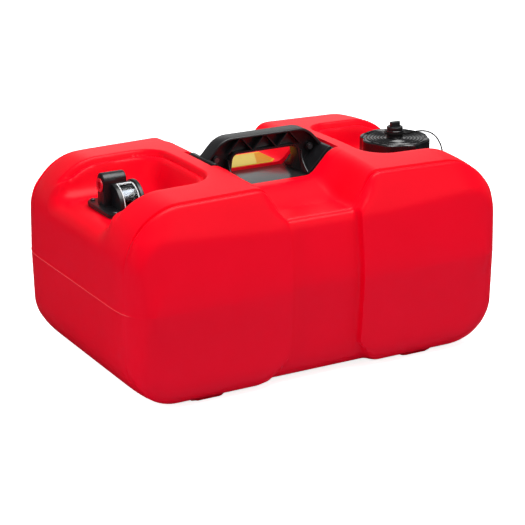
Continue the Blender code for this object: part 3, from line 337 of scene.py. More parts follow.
def mouldedSkin():
    # moulded plastic: slow colour drift, fine peel and slow ripples in the normal, uneven gloss
    group, given = makeGroup("mouldedSkin", {
        "Roughness": 0.4, "Peel": 0.1, "Ripple": 0.1, "Drift scale": 9.0, "Peel scale": 900.0})
    drift, peel = [derive("TexNoise", Vector=given["Place"], Scale=given[scale], Detail=detail)
                   for scale, detail in (("Drift scale", 3.0), ("Peel scale", 2.0))]
    slow = derive("Bump", Distance=0.004, Strength=given["Ripple"], Height=drift)
    fine = derive("Bump", Distance=0.0003, Strength=given["Peel"], Height=peel, Normal=slow)
    least = reckon("SUBTRACT", given["Roughness"], 0.06)
    addNode(group, "NodeGroupOutput", mixed(drift, given["Colour"], given["Second colour"]),
            reckon("MULTIPLY_ADD", peel, 0.12, least), fine)
    return group


def drawnGrain():
    # drawn or rolled metal: noise stretched along an axis, in the colour, gloss and normal
    group, given = makeGroup("drawnGrain", {"Roughness": 0.3})
    stretch = derive("Mapping", Vector=given["Place"], Scale=(1.0, 1.0, 0.08))
    grain = derive("TexNoise", Vector=stretch, Scale=1400.0, Detail=2.0)
    addNode(group, "NodeGroupOutput", mixed(grain, given["Colour"], given["Second colour"]),
            reckon("MULTIPLY_ADD", grain, 0.15, given["Roughness"]),
            derive("Bump", Distance=0.0002, Strength=0.25, Height=grain))
    return group


def newLook(name, **sockets):
    # a material with its Principled shader; values that are the same all over sit on its sockets
    looks[name] = bpy.data.materials.new(name)
    looks[name].use_nodes = True
    tree = looks[name].node_tree
    shader = tree.nodes["Principled BSDF"].inputs
    for label, value in sockets.items():
        feed(shader[label], value)
    return shader, addNode(tree, "ShaderNodeTexCoord").outputs["Object"]


def groupLook(name, group, row, **sockets):
    # a look whose colour, roughness and normal come from a shared effect
    shader, place = newLook(name, **sockets)
    skin = addNode(place.id_data, "ShaderNodeGroup", node_tree=group)
    labels = ("Place", "Colour", "Second colour", "Roughness", "Peel", "Ripple", "Drift scale",
              "Peel scale")
    for label, value in zip(labels, (place, *row)):
        feed(skin.inputs[label], value)
    for label, result in zip(("Base Color", "Roughness", "Normal"), skin.outputs):
        feed(shader[label], result)


mouldedFinishes = {
    # colour, second colour, roughness, peel, ripple, drift scale, peel scale, specular level
    "redPolyethylene": ((0.80, 0, 0.012), (0.74, 0, 0.009), 0.35, 0.10, 0.16, 11, 700, 0.12),
    "redMoulded": ((0.70, 0.004, 0.015), (0.62, 0.003, 0.012), 0.35, 0.1, 0.05, 60, 1500, 0.5),
    "blackNylon": ((0.004, 0.004, 0.005), (0.008, 0.008, 0.009), 0.30, 0.35, 0.05, 40, 2200, 0.48),
    "blackCap": ((0.004, 0.004, 0.005), (0.008, 0.008, 0.009), 0.17, 0.15, 0.06, 40, 1500, 0.68),
    "blackGloss": ((0.012, 0.013, 0.013), (0.020, 0.021, 0.021), 0.20, 0.08, 0.10, 30, 900, 0.75),
    "blackRubber": ((0.014, 0.014, 0.014), (0.026, 0.026, 0.026), 0.75, 0.5, 0.1, 50, 1800, 0.5),
    "strapPlastic": ((0.004, 0.004, 0.004), (0.008, 0.008, 0.008), 0.5, 0.2, 0.05, 60, 1800, 0.12),
    "whiteAcetal": ((0.78, 0.78, 0.74), (0.70, 0.70, 0.66), 0.42, 0.1, 0.05, 60, 1500, 0.5),
    "floatFoam": ((0.09, 0.08, 0.07), (0.16, 0.14, 0.12), 0.85, 1.0, 0.3, 220, 1100, 0.5),
}
metalFinishes = {
    # colour, second colour, roughness
    "zincSteel": ((0.62, 0.63, 0.65), (0.50, 0.51, 0.53), 0.22),
    "dullZinc": ((0.16, 0.16, 0.17), (0.10, 0.10, 0.11), 0.34),
    "drawnBrass": ((0.80, 0.58, 0.25), (0.66, 0.46, 0.18), 0.22),
}
# a painted highlight along the tank's parting line towards its ends: a thin band of paler red
seamHighlight = {"height": 0.151, "half": 0.0005, "start": (0.300, 0.306), "colour": (0.95, 0.10, 0.10)}


def makeLooks():
    skin, grain = mouldedSkin(), drawnGrain()
    for name, (*row, shine) in mouldedFinishes.items():
        groupLook(name, skin, row, **{"Specular IOR Level": shine})
    for name, row in metalFinishes.items():
        groupLook(name, grain, row, Metallic=1.0)
    # the tank's parting line: a painted highlight, a mask near its height and past a distance along
    # x, in a paler red
    tree = looks["redPolyethylene"].node_tree
    x, y, z = axes(addNode(tree, "ShaderNodeTexCoord").outputs["Object"])
    near = reckon("COMPARE", z, seamHighlight["height"], seamHighlight["half"])
    past = derive("MapRange", reckon("ABSOLUTE", x), *seamHighlight["start"],
                  interpolation_type="SMOOTHSTEP")
    base = tree.nodes["Principled BSDF"].inputs["Base Color"]
    plain = base.links[0].from_socket
    feed(base, mixed(reckon("MULTIPLY", near, past), plain, seamHighlight["colour"]))


makeLooks()
print("finishes made")

tether = {
    "radius": 0.0011,
    "steps": 20,
    # the part's own curve: ring, two handles and anchor
    "handles": [(0.24752, -0.01833, 0.3001), (0.26307, -0.04307, 0.3145), (0.280, -0.070, 0.3145),
                (0.280, -0.070, 0.2541)],
}


def bezier(points, steps):
    # a cubic from its end points and two handles
    a, b, c, d = np.array(points, dtype=float)
    t = np.linspace(0, 1, steps + 1)[:, None]
    return (1 - t) ** 3 * a + 3 * t * (1 - t) ** 2 * b + 3 * t ** 2 * (1 - t) * c + t ** 3 * d


def carryRound(path, radius, reference, steps=12):
    # a circle carried along a path, square to its direction, with a fixed vector giving its turn
    along = np.gradient(path, axis=0)
    along /= np.linalg.norm(along, axis=1)[:, None]
    across = np.cross(along, reference)
    across /= np.linalg.norm(across, axis=1)[:, None]
    up = np.cross(across, along)
    ring = circle((0, 0), radius, steps)[None]
    return gridSolid(path[:, None] + ring[..., :1] * across[:, None] + ring[..., 1:] * up[:, None])


def makeTether():
    path = bezier(tether["handles"], tether["steps"])
    form = carryRound(path, tether["radius"], np.array((0.85, -0.53, 0.0)))
    piece = addPiece("tetherStrap", form, None, "strapPlastic", ("cap_tether",))
    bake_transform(piece)


makeTether()
print("tether made")

shell = {
    "reach": 0.3088, "halfWidth": 0.1975, "seam": 0.151, "endDraft": 0.0036,
    "corner": (0.049, 0.085), "plateau": 0.299, "crown": 0.006, "rim": 0.160, "rimStep": 0.0030,
    "bead": (0.1700, 0.2918), "creaseZ": 0.2410, "creaseRise": 0.075, "tilt": 0.020,
    "outwards": 0.10, "sideRate": 8.32, "lowRate": 11.2, "swell": 0.235, "swellBack": 0.0017,
    "belly": (0.1545, 0.034), "low": 0.0045, "sideLow": 0.050,
    "topRadius": (0.085, 0.050), "bottomRadius": (0.078, 0.050),
    "ridge": 0.0585, "valleyTop": 0.094, "valleyBow": 0.0055, "rise": 0.037, "flareTop": 0.050,
    "floor": (0.268, 0.249), "floorShelf": (0.055, 0.125), "farShelf": (0.118, 0.165),
    "floorRim": 0.1640, "floorStep": 0.002, "floorBead": (0.172, 0.2427), "recess": 0.012,
    "centreLow": 0.0065, "centreRate": 6.8, "centreReach": 0.104,
    "pocketInner": 0.128, "pocketHalf": 0.100, "pocketCorner": 0.042, "innerDraft": 0.020,
    "pocketFloor": 0.2475, "pocketDraft": 0.010, "ledgeDepth": 0.0095, "ledgeEdge": 0.0045,
    "ledgeWidth": 0.008, "rimDraft": 0.3, "ledgeFade": (0.249, 0.030), "rimAbove": 0.030,
    "seatDepth": 0.0073, "seatHalf": 0.043, "seatReach": 0.106,
    "lip": 0.0013, "lipAt": 0.0055, "lipHalf": 0.0024,
    "foot": (0.177, 0.1275), "footHalf": (0.029, 0.033), "footCorner": 0.012,
    "seamHeight": 0.0009, "seamHalf": 0.0008, "wall": 0.005, "openTop": 0.26,
    "filler": (0.236, 0.0425), "gauge": (-0.240, 0.021), "anchorHole": 0.0023,
    "core": ((-0.24, -0.170, 0.10), (0.24, 0.170, 0.20)), "span": 0.14,
}
fixing = {"along": 0.0175, "across": 0.038, "hole": 0.0021}
fixings = [(shell["gauge"][0] + a * fixing["along"], b * fixing["across"])
           for a in (-1, 1) for b in (-1, 1)]


def floorAt(y):
    # the saddle floor's height: level in the middle, then eased down, later on the far side
    high, low = shell["floor"]
    (near, nearEnd), (far, farEnd) = shell["floorShelf"], shell["farShelf"]
    past = np.where(y > 0, (y - far) / (farEnd - far), (-y - near) / (nearEnd - near))
    return high - (high - low) * ease(past)


def sideRise(over, rate):
    # height above the seam at a place short of the widest: a straight wall, upright at the seam
    over = over - shell["swellBack"]
    upright = np.sqrt(np.maximum(over, 0) * shell["swell"] + (rate * over) ** 2)
    return np.where(over > 0, upright, 3 * rate * over)


def cornerBox(across, up, radius):
    # signed distance to two sides at right angles with a round corner between them
    qa, qu = across + radius, up + radius
    inside = np.minimum(np.maximum(qa, qu), 0)
    return np.hypot(np.maximum(qa, 0), np.maximum(qu, 0)) + inside - radius


def raised(past, drop):
    # the groove's drop less a bell-shaped bead that stands a little way past the rim
    return drop and drop - shell["lip"] * np.exp(-((past - shell["lipAt"]) / shell["lipHalf"]) ** 2)


def underside(y, base, half):
    # the bottom's height: level in the middle, then an ellipse up to the side wall
    s = shell
    t = np.clip((y - s["belly"][0] + s["halfWidth"] - half) / s["belly"][1], 0, 1)
    level = base + (s["sideLow"] - base) * (1 - np.sqrt(1 - t * t))
    return softMax(level, s["seam"] - sideRise(half - y, s["lowRate"]), 0.012)


def blockForm(x, y, z, drop):
    # one end block: a round-cornered box in x and z whose top, bottom and end vary with y
    s = shell
    valley = floorAt(y)
    y = np.abs(y)
    drop = raised(y - s["rim"], drop)
    crown = s["plateau"] + s["crown"] * np.maximum(0, 1 - (y / s["rim"]) ** 2)
    outwards = np.maximum(0, x - s["outwards"])
    tilt, creaseZ = s["tilt"] * outwards, s["creaseZ"] + s["creaseRise"] * outwards
    creaseY = s["halfWidth"] - (creaseZ - s["seam"]) / s["sideRate"]
    beadY, beadZ = s["bead"][0], s["bead"][1] - tilt
    slope = (beadZ - creaseZ) / (creaseY - beadY)
    top = softMin(crown - drop - tilt - 0.10 * np.maximum(0, y - s["rim"]),
                  beadZ - slope * (y - beadY), 0.004)
    top = softMin(top, s["seam"] + sideRise(s["halfWidth"] - y, s["sideRate"]), 0.005)
    low = underside(y, s["low"], s["halfWidth"])
    depth, start = s["corner"]
    past = np.clip((y - start) / (s["halfWidth"] - start), 0, 1)
    reach = s["reach"] - depth * (1 - np.sqrt(1 - past ** 5)) \
        - s["endDraft"] * np.abs(z - s["seam"]) / 0.148 - drop * ease((z - 0.247) / 0.023)
    towards = np.clip((y - s["rim"]) / (creaseY - s["rim"]), 0, 1)
    radii = [np.maximum(np.minimum(a + (b - a) * towards, room), 1e-4)
             for (a, b), room in ((s["topRadius"], top - s["seam"]),
                                  (s["bottomRadius"], s["seam"] - low))]
    upper = cornerBox(x - reach, z - top, radii[0])
    lower = cornerBox(x - reach, low - z, radii[1])
    valleyTop = s["valleyTop"] - s["valleyBow"] * (y / s["rim"]) ** 2 + 0.8 * drop
    rise = np.maximum(0, z - valley) / np.maximum(top - valley, s["rise"])
    flare = np.clip(1 - (z - s["low"]) / (s["flareTop"] - s["low"]), 0, 1)
    inner = s["ridge"] + (valleyTop - s["ridge"]) * rise + (s["valleyTop"] - s["ridge"]) * flare
    return softMax(np.maximum(upper, lower), (inner - x) * 0.75, 0.010)


def centreForm(x, y, z, drop):
    # the recessed middle: its section in y and z, the same all along x
    s = shell
    floor = floorAt(y)
    y = np.abs(y)
    beadY, beadZ = s["floorBead"]
    drop = raised(y - s["floorRim"], drop)
    side = s["halfWidth"] - s["recess"]
    top = softMin(floor - drop, beadZ - 0.9 * (y - beadY), 0.004)
    top = softMin(top, s["seam"] + sideRise(side - y, s["centreRate"]), 0.007)
    low = underside(y, s["centreLow"], side)
    return np.maximum(np.maximum(z - top, low - z), x - s["centreReach"])


def evenForm(form, x, y, z, drop):
    # a form divided by the steepness of its own values, so that it reads as a distance
    value, step = form(x, y, z, drop), 2e-4
    steep = sum(((form(x + a, y + b, z + c, drop) - value) / step) ** 2
                for a, b, c in ((step, 0, 0), (0, step, 0), (0, 0, step)))
    return value / np.clip(np.sqrt(steep), 0.9, 12.0)


def groovedForm(form, x, side, z, rim, step):
    # a form cut short at its rim, joined to the same form stepped down past the rim
    inside = softMax(evenForm(form, x, side, z, 0.0), np.abs(side) - rim, 0.0012)
    return softMin(inside, evenForm(form, x, side, z, step), 0.0008)


def pocketForm(x, y, z, blocks):
    # a drafted pocket and the wider ledge above it, which follows the block's own surface
    s = shell
    ledge = s["plateau"] - s["ledgeDepth"] + s["ledgeEdge"]
    fadeLow, fadeHigh = s["ledgeFade"]
    risen = ease((z - fadeLow) / fadeHigh)
    depth = s["ledgeDepth"] * risen - s["rimAbove"] * (1 - risen)
    share = np.clip((ledge - z) / (ledge - s["pocketFloor"]), 0, 1)
    inner, narrow = (s["ledgeWidth"] + s[draft] * share for draft in ("innerDraft", "pocketDraft"))
    across, along = s["pocketInner"] - x, y - s["pocketHalf"]
    deep = softMax(cornerBox(across + inner, along + narrow, s["pocketCorner"]),
                   s["pocketFloor"] - z, 0.022)
    rim = cornerBox(across, along, s["pocketCorner"]) - s["rimDraft"] * np.minimum(blocks, 0)
    return softMin(deep, np.maximum(rim, -blocks - depth), 0.0030)


def seatForm(x, y, z):
    # the handle's seat: the saddle's section moved down, within a half width and a reach
    s = shell
    rate = s["rise"] / (s["valleyTop"] - s["ridge"])
    shift = s["seatDepth"] * math.tan(math.atan(rate) / 2)
    floor = s["floor"][0] - s["seatDepth"]
    path = np.clip(floor + rate * (x - s["ridge"] - shift), floor, floor + s["rise"])
    return np.maximum(np.maximum(y - s["seatHalf"], (path - z) * 0.8), x - s["seatReach"])


def shellForm(points, plain=False):
    # the whole moulded body as one signed distance, negative inside; plain has no feet or seam
    s = shell
    x, side, z = np.abs(points[:, 0]), points[:, 1], points[:, 2]
    y = np.abs(side)
    blocks = groovedForm(blockForm, x, side, z, s["rim"], s["rimStep"])
    centre = groovedForm(centreForm, x, side, z, s["floorRim"], s["floorStep"])
    whole = softMin(blocks, centre, 0.007)
    edge = 0.004 + 0.020 * (1 - ease((z - s["pocketFloor"] - 0.002) / 0.028))
    whole = softMax(whole, -pocketForm(x, y, z, blocks), edge)
    whole = softMax(whole, -seatForm(x, y, z), 0.0012)
    if plain:
        return whole
    footX, footY = [np.abs(v - at) - half for v, at, half in zip((x, y), s["foot"], s["footHalf"])]
    foot = softMax(softMax(cornerBox(footX, footY, s["footCorner"]), -z, 0.004), z - 0.02, 0.001)
    whole = softMin(whole, foot, 0.003)
    fade = (1 - 0.8 * ease((y - 0.150) / 0.035)) * ease((x - 0.13) / 0.03)
    return whole - s["seamHeight"] * fade * np.exp(-((z - s["seam"]) / s["seamHalf"]) ** 2)


def gradedLine(*stretches):
    # places from stretches of (start, end, step), each cut into whole steps
    parts = [np.linspace(a, b, max(1, round((b - a) / step)) + 1)[:-1] for a, b, step in stretches]
    return np.append(np.concatenate(parts), stretches[-1][1])


def bothWays(line):
    return np.concatenate([-line[:0:-1], line])


def castShell(lines, offset=0.0, plain=False):
    # six grids on an outer box; every point slides in along its ray to where the form is zero
    low, high = np.array(shell["core"])
    parts = []
    for axis in range(3):
        first, second = [k for k in range(3) if k != axis]
        u, v = np.meshgrid(lines[first], lines[second], indexing="ij")
        index = np.arange(u.size).reshape(u.shape)
        a, b, c, d = index[:-1, :-1], index[1:, :-1], index[1:, 1:], index[:-1, 1:]
        faces = np.stack([a, b, c, d], -1).reshape(-1, 4)
        for end in (0, -1):
            outer = np.empty((u.size, 3))
            outer[:, axis] = lines[axis][end]
            outer[:, first], outer[:, second] = u.ravel(), v.ravel()
            core = np.clip(outer, low, high)
            near, far = np.zeros(u.size), np.ones(u.size)
            for step in range(20):
                middle = (near + far) / 2
                point = core + (outer - core) * middle[:, None]
                inside = shellForm(point, plain) + offset < 0
                near, far = np.where(inside, middle, near), np.where(inside, far, middle)
            parts.append((core + (outer - core) * far[:, None], faces))
    return parts


def makeTank():
    s, span = shell, shell["span"]
    lineX = bothWays(gradedLine(
        (0, 0.046, 0.0066), (0.046, 0.068, 0.0014), (0.068, 0.100, 0.0024), (0.100, 0.110, 0.0014),
        (0.110, 0.122, 0.004), (0.122, 0.134, 0.0011), (0.134, 0.176, 0.0022),
        (0.176, 0.202, 0.0085), (0.202, 0.210, 0.0016), (0.210, 0.24, 0.0085),
        (0.24, 0.24 + span, 0.0093)))
    lineY = bothWays(gradedLine(
        (0, 0.038, 0.0063), (0.038, 0.048, 0.0014), (0.048, 0.078, 0.0025), (0.078, 0.104, 0.0014),
        (0.104, 0.156, 0.0075), (0.156, 0.170, 0.0009), (0.170, 0.17 + span, 0.0093)))
    lineZ = gradedLine(
        (0.10 - span, 0.10, 0.0155), (0.10, 0.148, 0.012), (0.148, 0.1495, 0.0015),
        (0.1495, 0.1525, 0.0005), (0.1525, 0.155, 0.0025), (0.155, 0.20, 0.015),
        (0.20, 0.20 + span, 0.0155))
    body = meshFrom(*castShell((lineX, lineY, lineZ)))
    lineX = bothWays(gradedLine((0, 0.05, 0.0125), (0.05, 0.15, 0.0067), (0.15, 0.24, 0.018),
                                (0.24, 0.24 + span, 0.02)))
    lineY = bothWays(gradedLine((0, 0.072, 0.018), (0.072, 0.112, 0.005), (0.112, 0.17, 0.0145),
                                (0.17, 0.17 + span, 0.02)))
    lineZ = gradedLine((0.10 - span, 0.10, 0.02), (0.10, 0.20, 0.05), (0.20, 0.20 + span, 0.02))
    floor, top = s["pocketFloor"], s["openTop"]
    bores = [rod(2, (x, 0.0), radius, floor - 0.012, floor + 0.02, steps=72)
             for x, radius in (s["filler"], s["gauge"])]
    cavity = carve(meshFrom(*castShell((lineX, lineY, lineZ), s["wall"], True)), bores)
    holes = [rod(2, place, fixing["hole"], floor - 0.0047, top, 0.0001, 12) for place in fixings]
    anchor = tether["handles"][-1][:2]
    holes.append(rod(2, anchor, s["anchorHole"], floor - 0.0034, top, 0.0001, 12))
    mesh = carve(body, [cavity, meshFrom(*holes)], "DIFFERENCE")
    addPiece("tankShell", mesh, "tank", "redPolyethylene", ("tank_shell",), 40.0)
    print("tank shell:", len(mesh.polygons), "faces")


makeTank()

neck = {
    "x": 0.236, "radius": 0.0465, "bore": 0.0425, "low": 0.2455, "high": 0.285, "lip": 0.0012,
    "boreEdge": 0.0006, "threadPitch": 0.0045, "threadHeight": 0.0019,
    "threadFrom": 0.2575, "threadTo": 0.2800, "fade": 0.003,
}


def makeNeck():
    # a tube whose outer wall swells along a helix: the thread that the cap screws on
    n = neck
    rows, steps = 90, 128
    z = np.linspace(n["low"], n["high"] - n["lip"], rows)
    turn = np.linspace(0, 2 * np.pi, steps, endpoint=False)[:, None]
    phase = (z[None] - n["threadFrom"]) / n["threadPitch"] - turn / (2 * np.pi)
    ridge = np.clip(1.6 - 5.0 * np.abs(phase - np.round(phase)), 0, 1)
    fade = ease((z - n["threadFrom"]) / n["fade"]) * ease((n["threadTo"] - z) / n["fade"])
    wall = n["radius"] + n["threadHeight"] * ease(ridge) * fade[None]
    rim = arc((n["radius"] - n["lip"], n["high"] - n["lip"]), n["lip"], 0, quarter, 4)[1:]
    inside = [n["bore"] + n["boreEdge"], n["bore"], n["bore"]]
    radius = np.hstack([wall, np.repeat([[*rim[:, 0], *inside]], steps, 0)])
    height = np.concatenate([z, rim[:, 1], [n["high"], n["high"] - n["boreEdge"], n["low"]]])
    points = np.stack([n["x"] + radius * np.cos(turn), radius * np.sin(turn),
                       np.repeat(height[None], steps, 0)], -1)
    addPiece("fillerNeck", gridSolid(points, wrap=True), "tank",
             "redPolyethylene")


makeNeck()
print("neck made")

handle = {
    "top": 0.332, "under": 0.306, "width": 0.026, "rim": 0.003, "web": 0.003, "rib": 0.0016,
    "toe": (0.05991, 0.2647), "knee": (0.09541, 0.3017), "sharp": 0.0008, "innerSharp": 0.0010,
    "topHalf": 0.071, "topRadius": 0.038, "legRadius": 0.009, "legLean": 0.006, "footHalf": 0.036,
    "ribReach": 0.061, "ribMargin": 0.0015, "plate": (0.2678, 0.2985),
    "pinX": 0.07925, "pinZ": 0.300, "bossRadius": 0.006, "bossHalf": 0.007, "pinHole": 0.0025,
    # the foot's section up the slope: place along x, height, corner radius
    "sole": ((0.06008, 0.2643, 0.0012), (0.09558, 0.3013, 0.0020), (0.1015, 0.3013, 0.0009),
             (0.0992, 0.3043, 0.0012), (0.09408, 0.3043, 0.0030), (0.06008, 0.26863, 0.0012)),
}


def bothSides(half):
    return half + [(-x, z, radius) for x, z, radius in reversed(half)]


def makeHandle():
    h = handle
    (toeX, toeZ), (kneeX, kneeZ) = h["toe"], h["knee"]
    rim, half, sharp, inSharp = h["rim"], h["width"] / 2, h["sharp"], h["innerSharp"]
    lean = toeX - h["legLean"]
    outer = bothSides([
        (lean, h["under"], h["legRadius"]), (toeX, toeZ, sharp), (kneeX, kneeZ, sharp),
        (kneeX + 0.0021, kneeZ + 0.0023, sharp), (h["topHalf"], h["top"], h["topRadius"])])
    inner = bothSides([
        (lean + rim, h["under"] + rim, h["legRadius"] + rim),
        (toeX + rim, toeZ + 0.0077, inSharp), (kneeX - rim, kneeZ + 0.0013, inSharp),
        (h["topHalf"] - rim / 2, h["top"] - rim, h["topRadius"] - rim)])
    # the web is what two hollows leave between them
    cuts = [slab(inner, *sorted((s * h["web"] / 2, s * (half + 0.003))), 0.0004, 1)
            for s in (-1, 1)]
    parts = [carve(slab(outer, -half, half, 0.0020, 1, 4), cuts, "DIFFERENCE")]
    levels = h["under"] + h["ribMargin"], h["top"] - h["ribMargin"]
    for k in range(6):
        (x0, z0), (x1, z1) = [(h["ribReach"] * (j / 3 - 1), levels[j % 2]) for j in (k, k + 1)]
        wide = h["rib"] / 2 * math.hypot(x1 - x0, z1 - z0) / abs(z1 - z0)
        rib = [(x0 - wide, z0), (x0 + wide, z0), (x1 + wide, z1), (x1 - wide, z1)]
        parts.append(slab(rib, -half + 0.0014, half - 0.0014, 0.0005, 1))
    # the flared plate is a rounded strip whose half width falls faster than the square
    widths = half + (h["footHalf"] - half) * (1 - np.linspace(0, 1, 16)) ** 2.2 - 0.0004
    for s in (-1, 1):
        sole = [(s * x, z, radius) for x, z, radius in h["sole"]]
        face, back = sorted((s * (toeX + 0.0001), s * (toeX + 0.0027)))
        rings = [lay(roundOutline([(face, -w, inSharp), (back, -w, inSharp), (back, w, inSharp),
                                   (face, w, inSharp)], 3), z, 2)
                 for w, z in zip(widths, np.linspace(*h["plate"], 16))]
        boss = rod(1, (s * h["pinX"], h["pinZ"]), h["bossRadius"], -h["bossHalf"], h["bossHalf"],
                   0.0005, 32)
        parts += [slab(sole, -h["footHalf"], h["footHalf"], 0.0009, 1),
                  gridSolid(np.stack(rings)), boss]
    holes = [rod(1, (s * h["pinX"], h["pinZ"]), h["pinHole"], -0.02, 0.02, 0.0001, 24)
             for s in (-1, 1)]
    mesh = carve(carve(parts[0], parts[1:]), holes, "DIFFERENCE")
    addPiece("carryHandle", mesh, "tank", "blackNylon", ("handle_grip",), 35.0)


makeHandle()
print("handle made")

strap = {"depth": 0.0070, "thickness": 0.0030, "reach": 0.0117, "half": 0.0427, "bend": 0.0045,
         "end": 0.0006}


def makeStrap():
    # the saddle's section moved down by a depth, drawn as a bent strip
    s = shell
    lean = math.tan(math.atan(s["rise"] / (s["valleyTop"] - s["ridge"])) / 2)

    def section(depth):
        shift, floor = depth * lean, s["floor"][0] - depth
        return [(s["ridge"] + shift, floor, strap["bend"]),
                (s["valleyTop"] + shift, floor + s["rise"], strap["bend"]),
                (s["valleyTop"] + strap["reach"], floor + s["rise"], strap["end"])]

    low, high = section(strap["depth"]), section(strap["depth"] - strap["thickness"])
    mirrored = [[(-x, z, r) for x, z, r in side] for side in (low, high)]
    loop = mirrored[0][::-1] + low + high[::-1] + mirrored[1]
    addPiece("seatStrap", slab(loop, -strap["half"], strap["half"], 0.0009, 1), "tank",
             "blackGloss", ("handle_base",))


makeStrap()
print("strap made")

label = {
    "near": 0.046, "far": 0.105, "low": -0.032, "high": 0.058, "cutNear": 0.014, "cutFar": 0.042,
    "lift": 0.0003, "thickness": 0.0004, "border": 0.0030, "divide": 0.0313, "lean": -0.468,
    "middle": 0.074, "pale": (0.50, 0.37, 0.066), "deep": (0.47, 0.185, 0.000),
    "edge": (0.56, 0.39, 0.008), "wear": (0.84, 1.08),
}


def labelLook():
    # two blank fields and a border, told apart by the distance from the sticker's own sides
    shader, place = newLook("yellowLabel", Roughness=0.45, **{"Specular IOR Level": 0.2})
    x, y, z = axes(place)
    left, right = reckon("SUBTRACT", x, label["low"]), reckon("SUBTRACT", label["high"], x)
    near, far = reckon("SUBTRACT", y, label["near"]), reckon("SUBTRACT", label["far"], y)
    room = reckon("MINIMUM", reckon("MINIMUM", left, right), reckon("MINIMUM", near, far))
    for a, b, cut in ((right, near, "cutNear"), (left, far, "cutFar")):
        past = reckon("SUBTRACT", reckon("ADD", a, b), label[cut])
        room = reckon("MINIMUM", room, reckon("MULTIPLY", past, 0.707))
    inside = reckon("GREATER_THAN", room, label["border"])
    leant = reckon("MULTIPLY_ADD", reckon("SUBTRACT", y, label["middle"]), label["lean"], x)
    beyond = reckon("GREATER_THAN", leant, label["divide"])
    fields = mixed(inside, label["edge"], mixed(beyond, label["pale"], label["deep"]))
    worn = derive("TexNoise", Vector=place, Scale=160.0, Detail=4.0)
    shade = derive("MapRange", worn, 0, 1, *label["wear"])
    feed(shader["Base Color"], mixed(1.0, fields, shade, blend_type="MULTIPLY"))
    feed(shader["Normal"], derive("Bump", Strength=0.2, Distance=0.0003, Height=worn))


def makeLabel():
    # a thin sheet with two corners cut off, laid on the saddle floor
    rows, columns = 60, 9
    y = np.linspace(label["near"], label["far"], rows)
    left = label["low"] + np.maximum(0, label["cutFar"] - (label["far"] - y))
    right = label["high"] - np.maximum(0, label["cutNear"] - (y - label["near"]))
    x = left[:, None] + (right - left)[:, None] * np.linspace(0, 1, columns)[None]
    z = np.repeat((floorAt(y) + label["lift"])[:, None], columns, 1)
    low = np.stack([x, np.repeat(y[:, None], columns, 1), z], -1)
    high = low + (0, 0, label["thickness"])
    labelLook()
    addPiece("blankLabel", gridSolid(np.concatenate([low, high[:, ::-1]], 1)), "tank",
             "yellowLabel", ("label_patch",))


makeLabel()
print("label made")

head = {
    "x": -0.240, "seat": 0.2496, "top": 0.2546, "base": 0.2521, "spigot": 0.0204,
    "spigotEnd": 0.2376, "flange": (0.027, 0.047), "flangeCorner": 0.015,
    "barrelRadius": 0.0116, "barrelCentre": (0.010, 0.2900), "barrel": (-0.2573, -0.2213),
    "port": (0.010, 0.2841), "portBore": 0.0085, "drop": (-0.250, 0.010),
    "chamber": (-0.2392, -0.2133), "axis": (-0.001, 0.2556), "cheek": 0.031, "back": 0.033,
    "room": 0.0274, "drum": (-0.003, 0.2624), "pivotY": -0.0096102, "pinY": -0.0140015,
    "slots": (-0.2420, -0.2323), "fine": 0.0001,
}


def makeHead():
    g = head
    x0, x1 = g["chamber"]
    (axisY, axisZ), (drumY, drumZ) = g["axis"], g["drum"]
    seat, base, end, fine = g["seat"], g["base"], g["spigotEnd"], g["fine"]
    parts = [slab(boxCorners((g["x"], 0.0), g["flange"], g["flangeCorner"]), seat, g["top"],
                  0.0013, 2, 4),
             rod(2, (g["x"], 0.0), g["spigot"], end, base, 0.0005, 64),
             slab(arch(g["barrelCentre"], g["barrelRadius"], base), *g["barrel"], 0.0016, 0, 4),
             slab(arch(g["axis"], g["cheek"], base, 56), x0 - 0.0066, x1 + 0.0033, 0.0010, 0),
             slab(arch(g["axis"], g["back"], base, 56), x1, x1 + 0.0066, 0.0014, 0, 4)]
    cuts = [slab(arch(g["axis"], g["room"], seat + 0.0015, 48), x0, x1, fine, 0),
            block((x0, -0.054, axisZ - 0.0003), (x1, axisY + 0.0003, 0.31)),
            block((x0, drumY - 0.0144, end - 0.02), (x0 + 0.0043, g["pinY"] + 0.0024, drumZ)),
            rod(0, g["drum"], 0.0018, x0 - 0.003, x1 + 0.003, fine, 24),
            rod(0, g["port"], g["portBore"], -0.28, g["barrel"][0] + 0.007, fine, 48),
            rod(0, g["port"], 0.0050, -0.28, -0.2475, fine, 32),
            rod(2, g["drop"], 0.0025, end - 0.02, g["port"][1], fine, 24),
            rod(2, g["drop"], 0.0035, end - 0.02, end + 0.007, fine, 24)]
    cuts += [block((x - 0.0003, g["pivotY"] - 0.0063, end - 0.02),
                   (x + 0.0019, g["pivotY"] + 0.0063, end + 0.006)) for x in g["slots"]]
    cuts += [rod(2, place, fixing["hole"], seat - 0.01, g["top"] + 0.01, fine, 16)
             for place in fixings]
    mesh = carve(carve(parts[0], parts[1:]), cuts, "DIFFERENCE")
    addPiece("withdrawalHead", mesh, "tank", "blackNylon", ("gauge_body",), 35.0)


makeHead()
print("withdrawal head made")

# pale is the width of the painted highlight lines along the lens's cut sides and top edge
lens = {"outer": 0.0302, "thickness": 0.0025, "x": (-0.2389, -0.2136), "pale": 0.0013}


